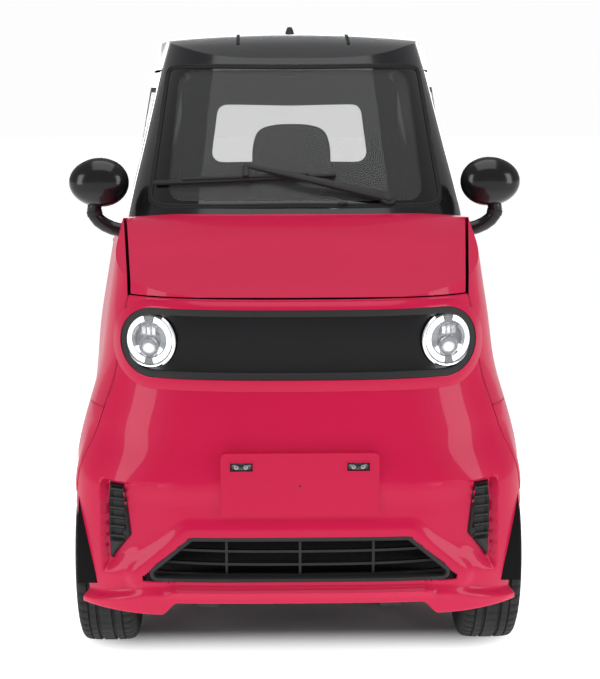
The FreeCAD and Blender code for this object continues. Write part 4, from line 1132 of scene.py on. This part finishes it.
# Rear trim: a black lower panel and two reflectors on the bumper, a grip and a high brake lamp on the
# tailgate.
tail_red = Finish("tail_lens", "tail_lens", (0.42, 0.006, 0.008), 0.08, coat_weight=0.6)
tail_red.give("Base Color", tail_red.blend(tail_red.cells(170.0), (0.50, 0.010, 0.012), (0.28, 0.003, 0.004)))
tail_red.bump(tail_red.cells(170.0), 0.35, 0.001)
dress(tail_red, "tail_lamps")


def back_patch(name, node, centre, half, proud, finish, body="body", power=6.0):
    # A low cushion-shaped patch on the back of the car, with an edge that rolls in.
    skin, rings = tree_of(node), []
    for grow, lift in ((1.0, -0.001), (1.0, proud * 0.6), (0.985, proud * 0.9), (0.95, proud), (0.6, proud),
                       (0.2, proud)):
        ring = []
        for c, s in turns(72):
            share = grow / (abs(c) ** power + abs(s) ** power) ** (1 / power)
            start = (centre[0] + half[0] * share * c, 3, centre[1] + half[1] * share * s)
            ring.append(on_skin(skin, start, (0, -1, 0), lift)[0])
        rings.append(ring)
    loft(name, rings, finish, body)


back_patch("rear_valance", "rear_bumper", (0, 0.285), (0.330, 0.046), 0.004, plastic, power=8.0)
for side, name in BOTH:
    back_patch("reflector_strip_" + name, "rear_bumper", (side * 0.390, 0.430), (0.048, 0.014), 0.004,
               tail_red)
back_patch("tailgate_grip", "tailgate", (0, 0.700), (0.085, 0.022), 0.007, plastic, "tailgate")
back_patch("high_brake_lamp", "tailgate", (0, 1.452), (0.110, 0.009), 0.004, tail_red, "tailgate")


# Tail lamps: red lenses, each with a raised black rim and a glowing ring, which follow the lens as it
# curves round the car's corner.
tail_glow = Finish("tail_ring", "tail_lens", (0.75, 0.02, 0.02), 0.15, glow=0.6)
tail_glow.give("Emission Color", tail_glow.blend(tail_glow.spots(60, 1), (0.9, 0.02, 0.02),
                                                 (1.0, 0.05, 0.04)))
TAIL_LAMPS = tree_of("tail_lamps")


def make_tail_trim(side, name):
    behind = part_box("tail_lamps")[1].y - 0.03
    centre_x, centre_z = side * 0.492, 0.790
    for word, inner, outer, lift, finish in (("tail_rim_", 0.0395, 0.0445, 0.0035, gloss),
                                             ("tail_ring_", 0.0240, 0.0300, 0.0020, tail_glow)):
        section = ((inner, -0.001), (inner + 0.001, lift), (outer - 0.001, lift), (outer, -0.001))
        rings = []
        for c, s in turns(64):
            ring = []
            for radius, proud in section:
                x, z = centre_x + radius * c, centre_z + radius * s
                hit = TAIL_LAMPS.ray_cast(Vector((x, 2, z)), Vector((0, -1, 0)))[0]
                ring.append(Vector((x, (hit.y if hit else behind) + proud, z)))
            rings.append(ring)
        loft(word + name, rings, finish, closed=True)


for side, name in BOTH:
    make_tail_trim(side, name)


# Seats: foam under black woven cloth, crowned in the middle, with sewn channels and a welt round the
# edge. The driver's seat has a cushion, a back and a headrest, and the bench behind is one pad.
seat_cloth = Finish("seat_cloth", "seat_cloth", (0.030, 0.030, 0.033), 0.9, sheen_weight=0.3,
                    sheen_roughness=0.5, specular=0.2)
threads = [seat_cloth.node("ShaderNodeTexWave", {"wave_type": "BANDS", "bands_direction": letter},
                           {"Vector": seat_cloth.place(), "Scale": 260.0, "Distortion": 1.5, "Detail": 1.0})
           for letter in "XZ"]
weave = threads[0] * threads[1]
seat_cloth.give("Base Color", seat_cloth.blend(weave, (0.022, 0.022, 0.025), (0.060, 0.060, 0.064)))
seat_cloth.bump(weave, 0.4, 0.0006)
welt_cloth = Finish("welt", "seat_cloth", (0.012, 0.012, 0.013), 0.7, grain=(900, 2, 0.3, 0.0003))


def middle_and_half(low, high):
    return (Vector(low) + Vector(high)) / 2, (Vector(high) - Vector(low)) / 2


def pad(name, low, high, node, thick_axis, crown, channels, lean=0.0, power=5.0):
    # A cushion in a box: a rounded block whose faces swell and whose sewn channels dip across its width.
    cuts, side_pull = 34, 0.035
    points, faces = [], []
    for axis in range(3):
        for sign in (-1, 1):
            start = len(points)
            for i in range(cuts + 1):
                for j in range(cuts + 1):
                    p = [0.0, 0.0, 0.0]
                    p[axis] = sign
                    p[(axis + 1) % 3] = math.tan((2 * i / cuts - 1) * math.pi / 4)
                    p[(axis + 2) % 3] = math.tan((2 * j / cuts - 1) * math.pi / 4)
                    size = sum(abs(v) ** power for v in p) ** (1 / power)
                    points.append([v / size for v in p])
            faces += [tuple(start + k for k in face)
                      for face in sheet_faces(cuts + 1, cuts + 1, flip=sign > 0)]
    centre, half = middle_and_half(low, high)
    wide, tall = [k for k in range(3) if k != thick_axis]
    placed = []
    for p in points:
        u, v, depth = p[wide], p[tall], abs(p[thick_axis])
        dip = sum(math.exp(-((u - c) / 0.035) ** 2) for c in channels if abs(v) < 0.93)
        dip += 0.8 * math.exp(-((abs(u) - 0.80) / 0.03) ** 2) if channels else 0.0
        q = Vector((p[k] * half[k] for k in range(3)))
        q[thick_axis] *= 1 - crown + crown * (1 - u * u) * (1 - v * v) - 0.085 * dip * (depth > 0.5)
        pull = side_pull * (1 - depth ** 2)
        q[wide] *= 1 - pull * (1 - v ** 2)
        q[tall] *= 1 - pull * (1 - u ** 2)
        q += centre
        q.y += lean * (q.z - low[2])
        placed.append(q)
    made = add_piece(name, placed, faces, seat_cloth, smooth=180, turn_out=True)
    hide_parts(node)


def welt(name, low, high, at, lean=0.0, upright=False, radius=0.0042, power=5.0):
    # A sewn tube round the edge of a pad, at a level across its thickness.
    centre, half = middle_and_half(low, high)
    path = []
    for c, s in turns(120):
        size = sum(abs(v) ** power for v in (c, s, at)) ** (1 / power)
        around, out = ((c, at, s), (c, 0, s)) if upright else ((c, s, at), (c, s, 0))
        point = centre + Vector((v / size * h for v, h in zip(around, half)))
        point.y += lean * (point.z - low[2])
        path.append((point, Vector(out)))
    bead(name, path, [(radius * c, radius * s) for c, s in turns(10)], welt_cloth, smooth=180)


def make_seats():
    cushion = ((-0.227, -0.222, 0.4345), (0.227, 0.216, 0.5335))
    pad("driver_cushion", *cushion, "seat_cushion", 2, 0.30, (-0.42, 0.0, 0.42))
    welt("driver_cushion_welt", *cushion, 0.62)
    back = ((-0.222, 0.262, 0.450), (0.222, 0.362, 1.110))
    pad("driver_back", *back, "seat_back", 1, 0.30, (-0.42, 0.0, 0.42), lean=0.115)
    welt("driver_back_welt", *back, -0.62, lean=0.115, upright=True)
    head = ((-0.128, 0.345, 1.095), (0.128, 0.425, 1.337))
    pad("driver_headrest", *head, "seat_back", 1, 0.24, (), power=3.6)
    welt("driver_headrest_welt", *head, -0.55, upright=True, radius=0.003, power=3.6)
    pad("rear_bench", (-0.396, 0.506, 0.566), (0.396, 0.896, 0.970), "rear_seat", 2, 0.12, (-0.5, 0.0, 0.5),
        power=8.0)


make_seats()


# Cabin fittings: grained dashboard with a slim screen on top of it, leaning back a little, and a leather
# rim on the steering wheel.
leather = Finish("wheel_leather", "wheel_rubber", (0.014, 0.014, 0.015), 0.5, mottle=(0.42, 90, 3, 0.2))
leather.bump(leather.cells(420.0), 0.3, 0.0004)
dress(leather, "steering_wheel")
screen_glass = Finish("screen_glass", "black_plastic", (0.006, 0.007, 0.009), 0.08,
                      mottle=(0.06, 12, 2, 0.06), coat_weight=0.5)


def make_screen():
    half_width, half_height, lift, tilt = 0.095, 0.029, 0.026, 0.012
    base = on_skin(tree_of("dashboard"), (0, -0.33, 2), (0, 0, -1))[0]
    rings = [[base + Vector((half_width * grow * sx, y + tilt * sz, lift + half_height * grow * sz))
              for sx, sz in SQUARE] for grow, y in ((0.9, -0.004), (1.0, 0.0), (1.0, 0.008), (0.9, 0.011))]
    loft("driver_screen", rings, screen_glass)


make_screen()


# Underside: coated frame tubes, axle and arms, and bare steel where parts turn or slide. These pieces
# are shown as they are in the solids.
coated = Finish("coated_steel", "coated_steel", (0.016, 0.016, 0.017), 0.5, mottle=(0.44, 35, 3, 0.2),
                grain=(420, 2, 0.15, 0.0004))
dress(coated, "chassis_frame", "front_suspension", "rear_axle", "battery_pack")
dress(steel, "steering_rack", "tie_rods", "knuckle_left", "knuckle_right")
